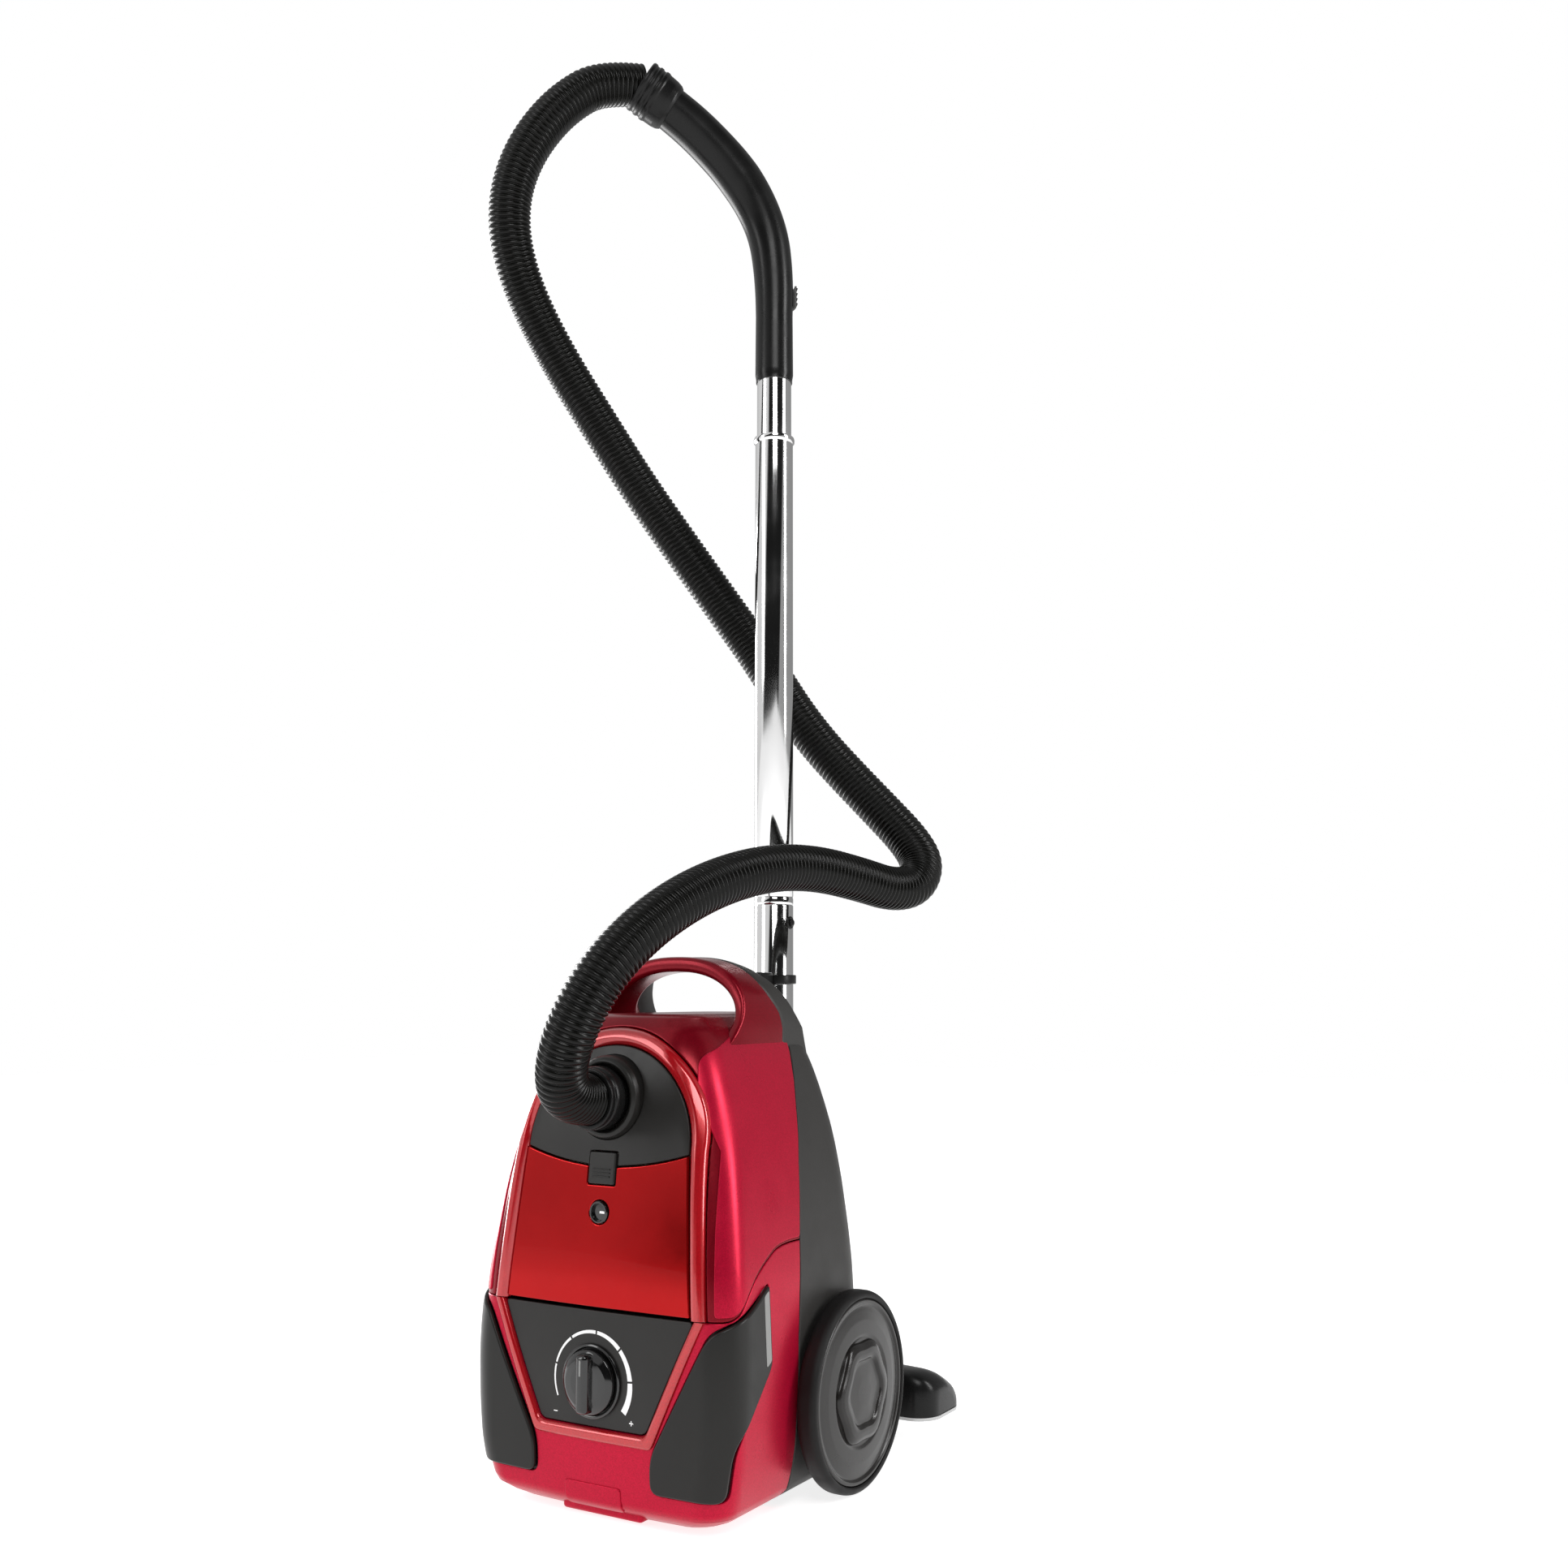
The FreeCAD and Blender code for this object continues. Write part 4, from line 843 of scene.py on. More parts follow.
def lid():
    """Glossy dust lid with a notch for the latch and a hole for the round window."""
    low, high = local_box("lid_latch")
    latch_half = high.x + 0.8
    latch_low = low.z - 0.8
    edge = lid_edge(-0.5, opening_half(LID_TOP_Z))
    right = [p for p in edge if p[0] > latch_half + 1]
    left = [p for p in edge if p[0] < -latch_half - 1]
    notch = [(latch_half, LID_DIP_Z - 0.5), (latch_half, latch_low, 1.5), (-latch_half, latch_low, 1.5),
             (-latch_half, LID_DIP_Z - 0.5)]
    sides = [(at_x(opening_half(z), z), z) for z in np.linspace(SEAM_Z + 1.6, LID_TOP_Z - 1, 10)]
    outline = sides + right + notch + left + mirror_points(sides)
    low, high = local_box("bag_full_window")
    hole = circle(high.x + 0.3, (low.z + high.z) / 2, 28)
    obj = panel("dust_lid_panel", outline, "lid", "dust_lid", proud=1.0, sink=2.0, corner=1.2,
                holes=[hole], edge_step=2.0)
    stand_for(obj, "red_lid", "lid_panel")


def lid_window():
    """Round bag-full window: dark bezel ring, recessed disc and a small white box that is a painted
    highlight.
    """
    centre = middle("bag_full_window")
    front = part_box("bag_full_window")[0].y
    spot = Vector((0, front, centre.z))
    ring = [(8.2, 4.5), (8.2, 0.8), (7.6, 0.0), (6.6, 0.0), (6.1, 0.8), (6.1, 2.6), (0.0, 2.2)]
    obj = lathe("bag_window", ring, spot, (0, 1, 0), "gloss_black", "dust_lid", segments=48)
    stand_for(obj, "black_plastic", "bag_full_window")
    # painted highlight: a small white box where the glint falls on the window
    glint_box = soft_box("bag_window_glint", spot + Vector((0.0006, 0.0012, -0.0008)),
                    spot + Vector((0.0052, 0.0026, 0.0010)), 0.3, "mark", "dust_lid")
    stand_for(glint_box, "black_plastic")


def inlet():
    low, high = local_box("lid_latch")
    latch_half = high.x + 0.8
    latch_top = high.z + 0.8
    arch = rim_outline(RIM_BAND + 0.6)[11:-11]
    edge = lid_edge(0.5, opening_half(LID_TOP_Z))[::-1]
    left = [p for p in edge if p[0] < -latch_half - 1]
    right = [p for p in edge if p[0] > latch_half + 1]
    notch = [(-latch_half, LID_DIP_Z + 0.5), (-latch_half, latch_top), (latch_half, latch_top),
             (latch_half, LID_DIP_Z + 0.5)]
    low, high = local_box("inlet_socket")
    centre_z = (low.z + high.z) / 2
    hole = circle(high.x, centre_z, 48)
    obj = panel("inlet_cover", arch + left + notch + right, "panel", "canister", corner=1.2,
                holes=[hole], edge_step=2.0)
    stand_for(obj, "panel_grey", "inlet_panel")
    spot = place(0, low.y, centre_z)
    ring = [(31.0, 24.0), (31.0, 6.0), (29.5, 1.6), (27.0, 0.0), (25.4, 0.6), (24.4, 2.4),
            (23.0, 4.4), (21.3, 5.2), (21.3, 24.0)]
    socket = lathe("socket_ring", ring, spot, (0, 1, 0), "pedal", "canister", 0.8, 96)
    stand_for(socket, "black_plastic", "inlet_socket")


def latch():
    low, high = local_box("lid_latch")
    obj = panel("latch_tab", rectangle(high.x, low.z, high.z), "panel", "latch", proud=1.8, sink=2.0,
                edge=1.2, step=3.0, edge_step=1.5)
    stand_for(obj, "panel_grey", "lid_latch")
    ribs = []
    for k in range(3):
        z = low.z + 5 + 2.6 * k
        ribs.append(panel("latch_rib", rectangle(high.x - 4, z, z + 1), "pedal", "latch", proud=2.5,
                          sink=-1.6, edge=0.4, corner=0.3, step=3.0))
    stand_for(joined("latch_ribs", ribs), "panel_grey")


def knob_height():
    low, high = local_box("power_knob")
    return (low.z + high.z) / 2


def control_panel():
    shaft_hole = circle(4.1, knob_height(), 20)
    obj = panel("control_plate", panel_corners(-0.3, PANEL_TOP_Z), "panel", "canister", proud=-0.6,
                edge=0.8, corner=4.0, holes=[shaft_hole])
    stand_for(obj, "panel_grey", "control_panel")


def dial_marks():
    """White scale round the knob: an arc that widens towards full power, cut by thin gaps."""
    knob_z = knob_height()
    start, end, pieces = math.radians(205), math.radians(-35), 6
    radius = 34.5
    printed = {"proud": -0.42, "sink": 0.7, "corner": 0.1, "step": 3.0, "edge_step": 1.5}
    segments = []
    for k in range(pieces):
        a0 = start + (end - start) * (k + 0.03) / pieces
        a1 = start + (end - start) * (k + 0.97) / pieces
        outer, inner = [], []
        for s in np.linspace(0, 1, 9):
            angle = a0 + (a1 - a0) * s
            share = (k + s) / pieces
            width = 1.2 + 3.6 * share ** 1.5
            for store, reach in ((outer, radius + width * 0.35), (inner, radius - width * 0.65)):
                store.append((reach * math.cos(angle), knob_z + reach * math.sin(angle)))
        segments.append(panel("dial_arc", outer + inner[::-1], "mark", "canister", edge=0.08, **printed))
    low_x, high_x, sign_z = -33.5, 35.0, knob_z - 25
    long, thin = 1.8, 0.35
    bars = [(low_x, long, thin), (high_x, long, thin), (high_x, thin, long)]
    signs = []
    for x, half_wide, half_tall in bars:
        bar = [(x + px, z) for px, z in rectangle(half_wide, sign_z - half_tall, sign_z + half_tall)]
        signs.append(panel("dial_sign", bar, "mark", "canister", edge=0.06, **printed))
    stand_for(joined("dial_scale", segments + signs), "panel_grey")


def knob():
    """Power knob: dished skirt with a rounded grip bar across it."""
    low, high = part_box("power_knob")
    spot = Vector((0, low.y, (low.z + high.z) / 2))
    radius = high.x / MM
    depth = 13.4
    skirt = [(0.0, 5.4), (radius * 0.55, 5.6), (radius * 0.80, 6.4), (radius * 0.90, 7.6), (radius, 9.0),
             (radius, depth), (radius - 2, depth + 0.4), (0.0, depth + 0.4)]
    disc = lathe("knob_skirt", skirt, spot, (0, 1, 0), "gloss_black", "knob", 0.7, 96)

    def pinch(point):
        out = (point.y - low.y) / 0.012
        point.x *= 0.72 + 0.5 * out
        return point

    half, tall, proud = 0.0062, 0.0205, 0.0125
    bar = soft_box("knob_bar", (-half, low.y, spot.z - tall), (half, low.y + proud, spot.z + tall), 3.2,
                   "gloss_black", "knob", 5, pinch)
    obj = joined("power_knob_moulding", [disc, bar])
    stand_for(obj, "black_plastic", "power_knob")
    pointer = soft_box("knob_pointer", (-0.0008, low.y - 0.0002, spot.z + 0.006),
                       (0.0008, low.y + 0.001, spot.z + 0.017), 0.3, "strip", "knob")
    stand_for(pointer, "black_plastic")
    collar = [(radius + 3.6, 14.0), (radius + 3.4, 12.8), (radius + 2.2, 12.2), (radius + 1.0, 12.6),
              (radius + 0.6, 14.0)]
    ring = lathe("knob_surround", collar, spot, (0, 1, 0), "gloss_black", "canister", 0.3, 96)
    stand_for(ring, "black_plastic")


def pedals():
    outline = pedal_outline(0)
    stem_x, stem_z, stem_radius = 76.0, 46.0, 4.0
    stem_hole = circle(stem_radius + 1, stem_z, 16, at_x(stem_x, stem_z))
    inner, outer = PEDAL_BACK_Y - 9.0, PEDAL_BACK_Y - 2.5
    strip = [(at_side(inner, 104), 104, 2), (at_side(outer, 106), 107.5, 2),
             (at_side(outer, 156), 156, 2), (at_side(inner, 154), 152.5, 2)]
    for side, body, node in ((1, "power_pedal", "pedal_power"), (-1, "rewind_pedal", "pedal_rewind")):
        sided = (lambda points: points) if side > 0 else mirror_points
        cover = panel(node + "_cover", sided(outline), "pedal", body, 3.4, -0.4, edge=1.8, corner=6.0)
        stand_for(cover, "panel_grey", node)
        inlay = panel(node + "_strip", sided(strip), "strip", body, 3.65, -1.0, edge=0.25, corner=1.5)
        stand_for(inlay, "panel_grey")
        stem = lathe(node + "_stem", [(0, 0), (stem_radius, 0), (stem_radius, 13), (0, 13)],
                     place(side * stem_x, -111.5, stem_z), (0, 1, 0), "inner", body, 0.4, 32)
        stand_for(stem, "panel_grey")
        well = panel(node + "_well", sided(pedal_outline(2.5, 2.2)), "black", "canister", proud=-2.3,
                     sink=3.6, edge=0.3, corner=8.0, step=6.0, holes=[sided(stem_hole)])
        stand_for(well, "black_plastic")


# ---------------------------------------------------------------- carry handle
# the handle's oval: centre height, half width and rise of its outer and inner lines
ARCH_Z, ARCH_FOOT_Z, ARCH_TOP_Z = 340.0, 316.0, 397.0
ARCH_OUTER = (72.0, 57.0, 2.4)
ARCH_INNER = (62.5, 45.0, 2.3)
LEG_LEAN = 0.15
# grey fin behind the handle's outer face: height, where grey begins, its back edge
FIN = np.array([
    (316, 34, 74), (340, 35, 66), (352, 31, 55), (365, 21, 45),
    (375, 16, 37), (385, 13, 27), (392, 12, 19), (397, 12, 15),
], float)
FIN_THICK = 5.0


def rounded_section(corners, radius, steps=8):
    """Closed section with its corners rounded, as (inward, y) points."""
    count = len(corners)
    points = []
    for i in range(count):
        points += bend(corners[i - 1], corners[i], corners[(i + 1) % count], radius, steps)
    return points


def oval_point(size, turn):
    half, rise, power = size
    across = math.copysign(abs(math.cos(turn)) ** (2 / power), math.cos(turn))
    return half * across, ARCH_Z + rise * math.sin(turn) ** (2 / power)


def arch_rings(section_at):
    """Rings of points for a section carried up one leg, over the crown and down the other."""
    feet = []
    for z in np.linspace(ARCH_FOOT_Z, ARCH_Z, 7):
        feet.append((ARCH_OUTER[0], z, ARCH_INNER[0] + (ARCH_Z - z) * LEG_LEAN, z))
    crown = []
    for turn in np.linspace(0, math.pi, 81)[1:-1]:
        crown.append((*oval_point(ARCH_OUTER, turn), *oval_point(ARCH_INNER, turn)))
    line = feet + crown + [(-ox, oz, -ix, iz) for ox, oz, ix, iz in feet[::-1]]
    rings = []
    for ox, oz, ix, iz in line:
        outer, inner = Vector((ox, 0, oz)), Vector((ix, 0, iz))
        away = (inner - outer).normalized()
        ring = []
        for inward, y in section_at(oz, (inner - outer).length):
            spot = outer + away * inward
            ring.append(place(spot.x, y, spot.z))
        rings.append(ring)
    return rings


def skinned(name, rings, material):
    """A closed mesh through the rings, with flat ends, on the canister."""
    size, count = len(rings[0]), len(rings)
    verts = [v for ring in rings for v in ring]
    faces = grid_faces(count, size)
    faces += [tuple(range(size)), tuple(range((count - 1) * size, count * size))]
    return crisp(mesh_object(name, verts, faces, material, "canister"), 40)


def fin_at(z):
    return [float(np.interp(z, FIN[:, 0], FIN[:, column])) for column in (1, 2)]


def handle():
    """Oval arch over the top: slim at the crown, spreading fore and aft into the body."""
    def red_section(z, reach):
        spread_out = (1 - (z - ARCH_FOOT_Z) / (ARCH_TOP_Z - ARCH_FOOT_Z)) ** 3.5
        front, back = -(18 + 50 * spread_out), 14 + 40 * spread_out
        cut = fin_at(z)[0]
        corners = [(0, cut), (0, front), (reach, front), (reach, back), (FIN_THICK, max(cut, back + 0.5))]
        return rounded_section(corners, 7.0)

    def grey_section(z, _):
        cut, far = fin_at(z)
        corners = [(-0.3, cut + 0.3), (-0.3, far), (FIN_THICK, far), (FIN_THICK, cut - 6)]
        return rounded_section(corners, 2.5, 5)

    # the handle's red part also takes the darker copy of the red: painted shade
    stand_for(skinned("handle_front", arch_rings(red_section), "shaded_red"), "red_shell")
    stand_for(skinned("handle_back", arch_rings(grey_section), "grey"), "grey_shell")


# ---------------------------------------------------------------- wheels and underside
def wheels():
    for side, word in ((1, "right"), (-1, "left")):
        body = "wheel_" + word
        low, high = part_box("wheel_tyre_" + word)
        centre = (low + high) / 2
        inner_x = low.x if side > 0 else high.x
        spot = Vector((inner_x, centre.y, centre.z))
        radius = (high.z - low.z) / 2 / MM
        axis = (side, 0, 0)
        tyre = [(radius - 6, 0.4), (radius - 2.6, 0.2), (radius - 0.6, 2.0), (radius, 4.6), (radius, 12.0),
                (radius - 0.8, 14.6), (radius - 2.8, 16.3), (radius - 5.0, 16.5), (radius - 6.0, 15.4)]
        stand_for(lathe("tyre_" + word, tyre, spot, axis, "tyre", body, 1.2, 128), "tyre_black",
                  "wheel_tyre_" + word)
        rim = radius - 6.1
        disc = [(14, 0.0), (14, 3.0), (rim - 5, 4.0), (rim - 1, 3.0), (rim, 4.0), (rim, 14.6),
                (rim - 1.2, 15.6), (rim - 3.4, 15.6), (rim - 4.6, 14.4), (rim - 5.8, 14.0),
                (rim - 9, 14.6), (rim - 16, 15.8), (42, 16.6), (38.5, 15.4), (30, 15.2), (6, 15.2),
                (6, 0.0)]
        stand_for(lathe("disc_" + word, disc, spot, axis, "wheel", body, 0.9, 128), "wheel_grey",
                  "wheel_disc_" + word)
        stand_for(hub(word, side, spot, body), "wheel_grey", "wheel_cap_" + word)


def hub(word, side, spot, body):
    """Raised hub cap with six soft corners and a dished middle."""
    profile = [(38.0, 14.6), (37.6, 16.8), (36.0, 18.6), (33.0, 19.9), (29.0, 20.4), (26.5, 20.2),
               (24.8, 19.2), (23.8, 18.2), (21.0, 17.8), (10.0, 18.6), (0.0, 18.9)]
    segments = 96
    verts = []
    rows = rounded_profile(profile, 0.8)
    for radius, along in rows:
        for k in range(segments):
            angle = 2 * math.pi * k / segments
            lobe = 1 + 0.045 * math.cos(6 * angle) * min(1, radius / 26)
            verts.append(spot + Vector((side * along * MM, radius * lobe * MM * math.cos(angle),
                                        radius * lobe * MM * math.sin(angle))))
    return crisp(mesh_object("hub_" + word, verts, grid_faces(len(rows), segments), "wheel", body), 32)


def underside():
    """Feet, foot plinth and step, outlet bush and exhaust grille."""
    for side, name in ((1, "foot_right"), (-1, "foot_left")):
        profile = [(0, 0), (8, 0), (9, 0.8), (9.5, 3), (11, 12), (0, 12)]
        foot = lathe(name, profile, place(side * FOOT_X, FOOT_Y, FLOOR_Z), (0, 0, 1), "red", "canister",
                     0.8, 48)
        stand_for(foot, "red_shell", *(["foot_pads"] if side > 0 else []))
    low, high = place(-PLINTH_HALF, FOOT_Y - 19, FLOOR_Z + 1.7), place(PLINTH_HALF, FOOT_Y + 16, 4)
    plinth = soft_box("foot_plinth", low, high, 3.0, "red", "canister", 4)
    stand_for(plinth, "red_shell")
    step = panel("foot_step", rectangle(25, 1, 19), "red", "canister", proud=0.9, sink=0.5, edge=0.8,
                 corner=3.0)
    stand_for(step, "red_shell")
    low, high = local_box("cord_outlet_bush")
    profile = [(3.6, 13), (3.6, 1), (4.4, 0.2), (8, 0), (9, 0.8), (9, 2.6), (7, 2.6), (7, 13)]
    bush = lathe("outlet_bush", profile, place(0, (low.y + high.y) / 2, low.z), (0, 0, 1), "black",
                 "canister", 0.5, 48)
    stand_for(bush, "black_plastic", "cord_outlet_bush")
    low, high = local_box("exhaust_grille")
    half, z0, z1 = high.x - 0.4, low.z + 0.4, high.z - 0.4
    count = 9
    slots = [rectangle(half - 6, z - 1.5, z + 1.5) for z in np.linspace(z0, z1, count + 2)[1:-1]]
    grille = panel("vent_grille", rectangle(half, z0, z1), "grey", "canister", proud=0.4, edge=0.6,
                   corner=1.4, holes=slots, surface=back_surface)
    stand_for(grille, "grey_shell", "exhaust_grille")


def bag():
    """Half-full fleece bag, bellied and creased, in the space of its CAD block."""
    low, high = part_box("dust_bag")
    centre, half = (low + high) / 2, (high - low) / 2
    work = bmesh.new()
    bmesh.ops.create_cube(work, size=2.0)
    bmesh.ops.subdivide_edges(work, edges=work.edges[:], cuts=30, use_grid_fill=True)
    for vert in work.verts:
        p = vert.co.copy()
        ball = p.normalized()
        mixed = p * 0.55 + ball * 0.62
        crease = 0.030 * math.sin(9 * p.x + 4 * p.z) * math.cos(7 * p.z - 3 * p.x)
        crease += 0.018 * math.sin(23 * p.z + 6 * p.x) * abs(p.x)
        mixed *= 0.93 + crease
        vert.co = Vector(centre[i] + max(-1, min(1, mixed[i])) * half[i] for i in range(3))
    obj = shown("fleece_bag", smooth_mesh("fleece_bag", work), MATERIAL["bag"], "canister")
    stand_for(obj, "bag_fleece", "dust_bag")


# ---------------------------------------------------------------- hose
def nurbs_points(name, route, resolution):
    """Points along the smooth NURBS line whose control points are the route's, in metres."""
    curve = bpy.data.curves.new(name, "CURVE")
    curve.dimensions = "3D"
    spline = curve.splines.new("NURBS")
    spline.points.add(len(route) - 1)
    for point, spot in zip(spline.points, route):
        point.co = (*place(*spot), 1.0)
    spline.order_u = 3
    spline.use_endpoint_u = True
    curve.resolution_u = resolution
    holder = bpy.data.objects.new(name, curve)
    bpy.context.scene.collection.objects.link(holder)
    line = bpy.data.meshes.new_from_object(holder)
    points = [v.co.copy() for v in line.vertices]
    bpy.data.objects.remove(holder)
    bpy.data.meshes.remove(line)
    return points


def spaced(points, step):
    """The same line with points an even step apart."""
    points = np.array([tuple(p) for p in points])
    gaps = np.linalg.norm(np.diff(points, axis=0), axis=1)
    along = np.concatenate([[0], np.cumsum(gaps)])
    count = max(2, int(round(along[-1] / step)) + 1)
    want = np.linspace(0, along[-1], count)
    return [Vector(np.interp(w, along, points[:, i]) for i in range(3)) for w in want]


def swept(points, radii, segments):
    """Verts and faces of a tube whose radius changes along the line, without twist."""
    verts = []
    tangent = (points[1] - points[0]).normalized()
    side = tangent.orthogonal().normalized()
    for i, spot in enumerate(points):
        ahead = points[min(i + 1, len(points) - 1)] - points[max(i - 1, 0)]
        new_tangent = ahead.normalized()
        side = tangent.rotation_difference(new_tangent) @ side
        side = (side - new_tangent * side.dot(new_tangent)).normalized()
        tangent = new_tangent
        up = tangent.cross(side)
        for k in range(segments):
            angle = 2 * math.pi * k / segments
            verts.append(spot + (side * math.cos(angle) + up * math.sin(angle)) * radii[i])
    return verts, grid_faces(len(points), segments)


def hose():
    """Ribbed hose: one rib every few millimetres, rounded crests and narrow valleys."""
    end = grip_point(*GRIP_END)
    line = nurbs_points("hose_line", HOSE_ROUTE + [end], 24)
    samples = 8
    points = spaced(line, RIB_PITCH * MM / samples)
    crest, valley = HOSE_RADIUS * MM, (HOSE_RADIUS - 2.1) * MM
    radii = []
    for i in range(len(points)):
        phase = (i % samples) / samples
        shape = abs(math.cos(math.pi * phase)) ** 0.7
        radii.append(valley + (crest - valley) * shape)
    verts, faces = swept(points, radii, 48)
    obj = mesh_object("ribbed_hose", verts, faces, "hose")
    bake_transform(obj)
    stand_for(obj, "hose_black", "hose")


def hose_cuff():
    low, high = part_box("hose_cuff")
    spot = Vector((0, low.y, (low.z + high.z) / 2))
    profile = [(16.2, 30), (16.2, 3), (19.2, 1.0), (19.4, 0.0), (21.6, 0.0), (22.4, 0.6), (22.6, 2.2),
               (21.9, 3.0), (21.9, 5.2), (22.9, 6.0), (23.4, 8.0), (23.4, 15.0), (22.6, 16.2),
               (21.0, 16.6), (21.0, 39)]
    obj = lathe("hose_cuff_ring", profile, spot, (0, 1, 0), "black", "cuff", 0.4, 96)
    stand_for(obj, "black_plastic", "hose_cuff")


# ---------------------------------------------------------------- wand
def wand_spot(z):
    return place(0, WAND_Y, z)


def chrome_piece(name, profile, z, node):
    piece = lathe(name, profile, wand_spot(z), (0, 0, 1), "chrome", "wand", 0, 128)
    stand_for(piece, "chrome", node)


def tubes():
    low, high = local_box("lower_tube")
    tall, radius, joint = high.z - low.z, high.x, high.z
    lower = [(radius - 1, 0), (radius, 0), (radius, tall - 1), (radius - 0.4, tall - 0.3),
             (radius - 1, tall - 0.3)]
    chrome_piece("lower_chrome_tube", lower, low.z, "lower_tube")
    tall = local_box("upper_tube")[1].z - joint
    foot = [(-1.1, -44), (-1.1, 0.2), (-0.6, 0.2), (-0.1, 1.2), (0, 2.4), (0, 5.5), (-0.35, 6.2),
            (-0.35, 7.4), (0, 8.1)]
    bead = [(0, -6.5), (0.4, -6.0), (1.4, -4.6), (1.5, -2.2), (1.1, -0.6), (-0.4, -0.1), (-1, -0.4)]
    upper = [(radius + out, up) for out, up in foot] + [(radius + out, tall + up) for out, up in bead]
    chrome_piece("upper_chrome_tube", upper, joint, "upper_tube")
    low, high = local_box("grip_stub")
    radius, tall = high.x, high.z - low.z
    stub = [(radius - 1, 0), (radius, 0), (radius, tall), (radius - 1, tall)]
    chrome_piece("grip_chrome_stub", stub, low.z, "grip_stub")


def snap_button():
    low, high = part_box("tube_button")
    centre = (low + high) / 2
    spot = Vector((low.x, centre.y, centre.z))
    reach = (high.x - low.x) / MM
    button = [(0, 0), (5, 0), (5, 3.5), (3.4, 3.5), (3.4, reach - 1.2), (2.4, reach - 0.2), (0, reach)]
    stand_for(lathe("snap_button_pin", button, spot, (1, 0, 0), "black", "snap_button", 0.5, 40),
              "button_black", "tube_button")
    rim = [(3.6, 0.2), (3.6, 1.1), (4.4, 1.3), (5.4, 1.0), (6.0, 0.3), (6.0, -0.6)]
    tube_radius = LOWER_TUBE_BOX[1].x
    ring = lathe("snap_button_seat", rim, Vector((tube_radius - 0.0006, centre.y, centre.z)), (1, 0, 0),
                 "black", "wand", 0.2, 48)
    stand_for(ring, "button_black")


def grip():
    """Bent black grip: slim neck over the stub, fuller round the bend where the hand holds it."""
    places = [(0, 935), (0, 985), (0, 1040), (7, 1088), (33, 1132), (74, 1168), (106, 1188), GRIP_END]
    points = spaced(nurbs_points("grip_line", [grip_point(*p) for p in places], 16), 0.0025)
    count, ring = len(points), 64
    share_in = [0.0, 0.012, 0.02, 0.20, 0.30, 0.48, 0.62, 0.80, 1.0]
    size_in = [17.0, 17.0, 17.8, 17.4, 18.2, 19.4, 20.8, 20.2, 19.4]
    radii = [float(np.interp(i / (count - 1), share_in, size_in)) * MM for i in range(count)]
    verts, faces = swept(points, radii, ring)
    inner_start = len(verts)
    for k in range(ring):
        verts.append(points[0] + (verts[k] - points[0]) * 0.95)
    for k in range(ring):
        n = (k + 1) % ring
        faces.append((k, inner_start + k, inner_start + n, n))
    obj = crisp(mesh_object("grip_moulding", verts, faces, "black", "wand"), 40)
    stand_for(obj, "black_plastic", "handle_grip")
    return points


def grip_details(points):
    """Swivel collar with grip ribs, a raised heel below it and the air slider."""
    end = points[-1]
    way = (points[-14] - points[-1]).normalized()
    collar = [(19.2, -1.0), (23.0, -1.0), (24.2, 0.4), (24.2, 3.0), (23.2, 4.0), (23.2, 6.0), (24.4, 7.0),
              (24.4, 9.6), (23.4, 10.6), (23.4, 12.6), (24.6, 13.6), (24.6, 16.4), (23.8, 18.0),
              (23.4, 26.0), (22.4, 31.0), (20.6, 34.0), (19.0, 34.5)]
    obj = lathe("grip_swivel_collar", collar, end, way, "black", "wand", 0.6, 96)
    stand_for(obj, "black_plastic", "grip_collar")
    low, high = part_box("air_slider")
    away = Vector((-GRIP_AWAY[0], -GRIP_AWAY[1], 0))
    across = away.cross(Vector((0, 0, 1)))
    axis = Vector((0, place(0, WAND_Y, 0).y, 0))
    columns = 9

    def row_at(z, reach, spread_out):
        """A row of points round the grip at one height, in front of its middle."""
        row = []
        for turn in np.linspace(-spread_out, spread_out, columns):
            arm = away * math.cos(turn) + across * math.sin(turn)
            row.append(axis + arm * reach * MM + Vector((0, 0, z)))
        return row

    pieces = []
    ribs = 4
    pitch = (high.z - low.z) / ribs
    gap, slope = 0.0006, 0.0012
    for k in range(ribs):
        za, zb = low.z + pitch * k + gap, low.z + pitch * (k + 1) - gap
        verts = []
        for z, reach in ((za, 19.4), (za + slope, 22.0), (zb - slope, 22.4), (zb, 19.4)):
            verts += row_at(z, reach, 0.32)
        faces = grid_faces(4, columns, False)
        pieces.append(mesh_object("slider_rib", verts, faces, "pedal", "air_valve"))
    base = []
    for z in (low.z, high.z):
        base += row_at(z, 19.35, 0.36) + row_at(z, 21.2, 0.36)
    faces = [(0, 9, 27, 18), (8, 17, 35, 26)]
    for c in range(columns - 1):
        for a, b in ((9, 27), (0, 9), (18, 27), (0, 18)):
            faces.append((a + c, a + c + 1, b + c + 1, b + c))
    pieces.append(mesh_object("slider_base", base, faces, "pedal", "air_valve"))
    obj = crisp(joined("air_slider_button", pieces), 30)
    stand_for(obj, "black_plastic", "air_slider")


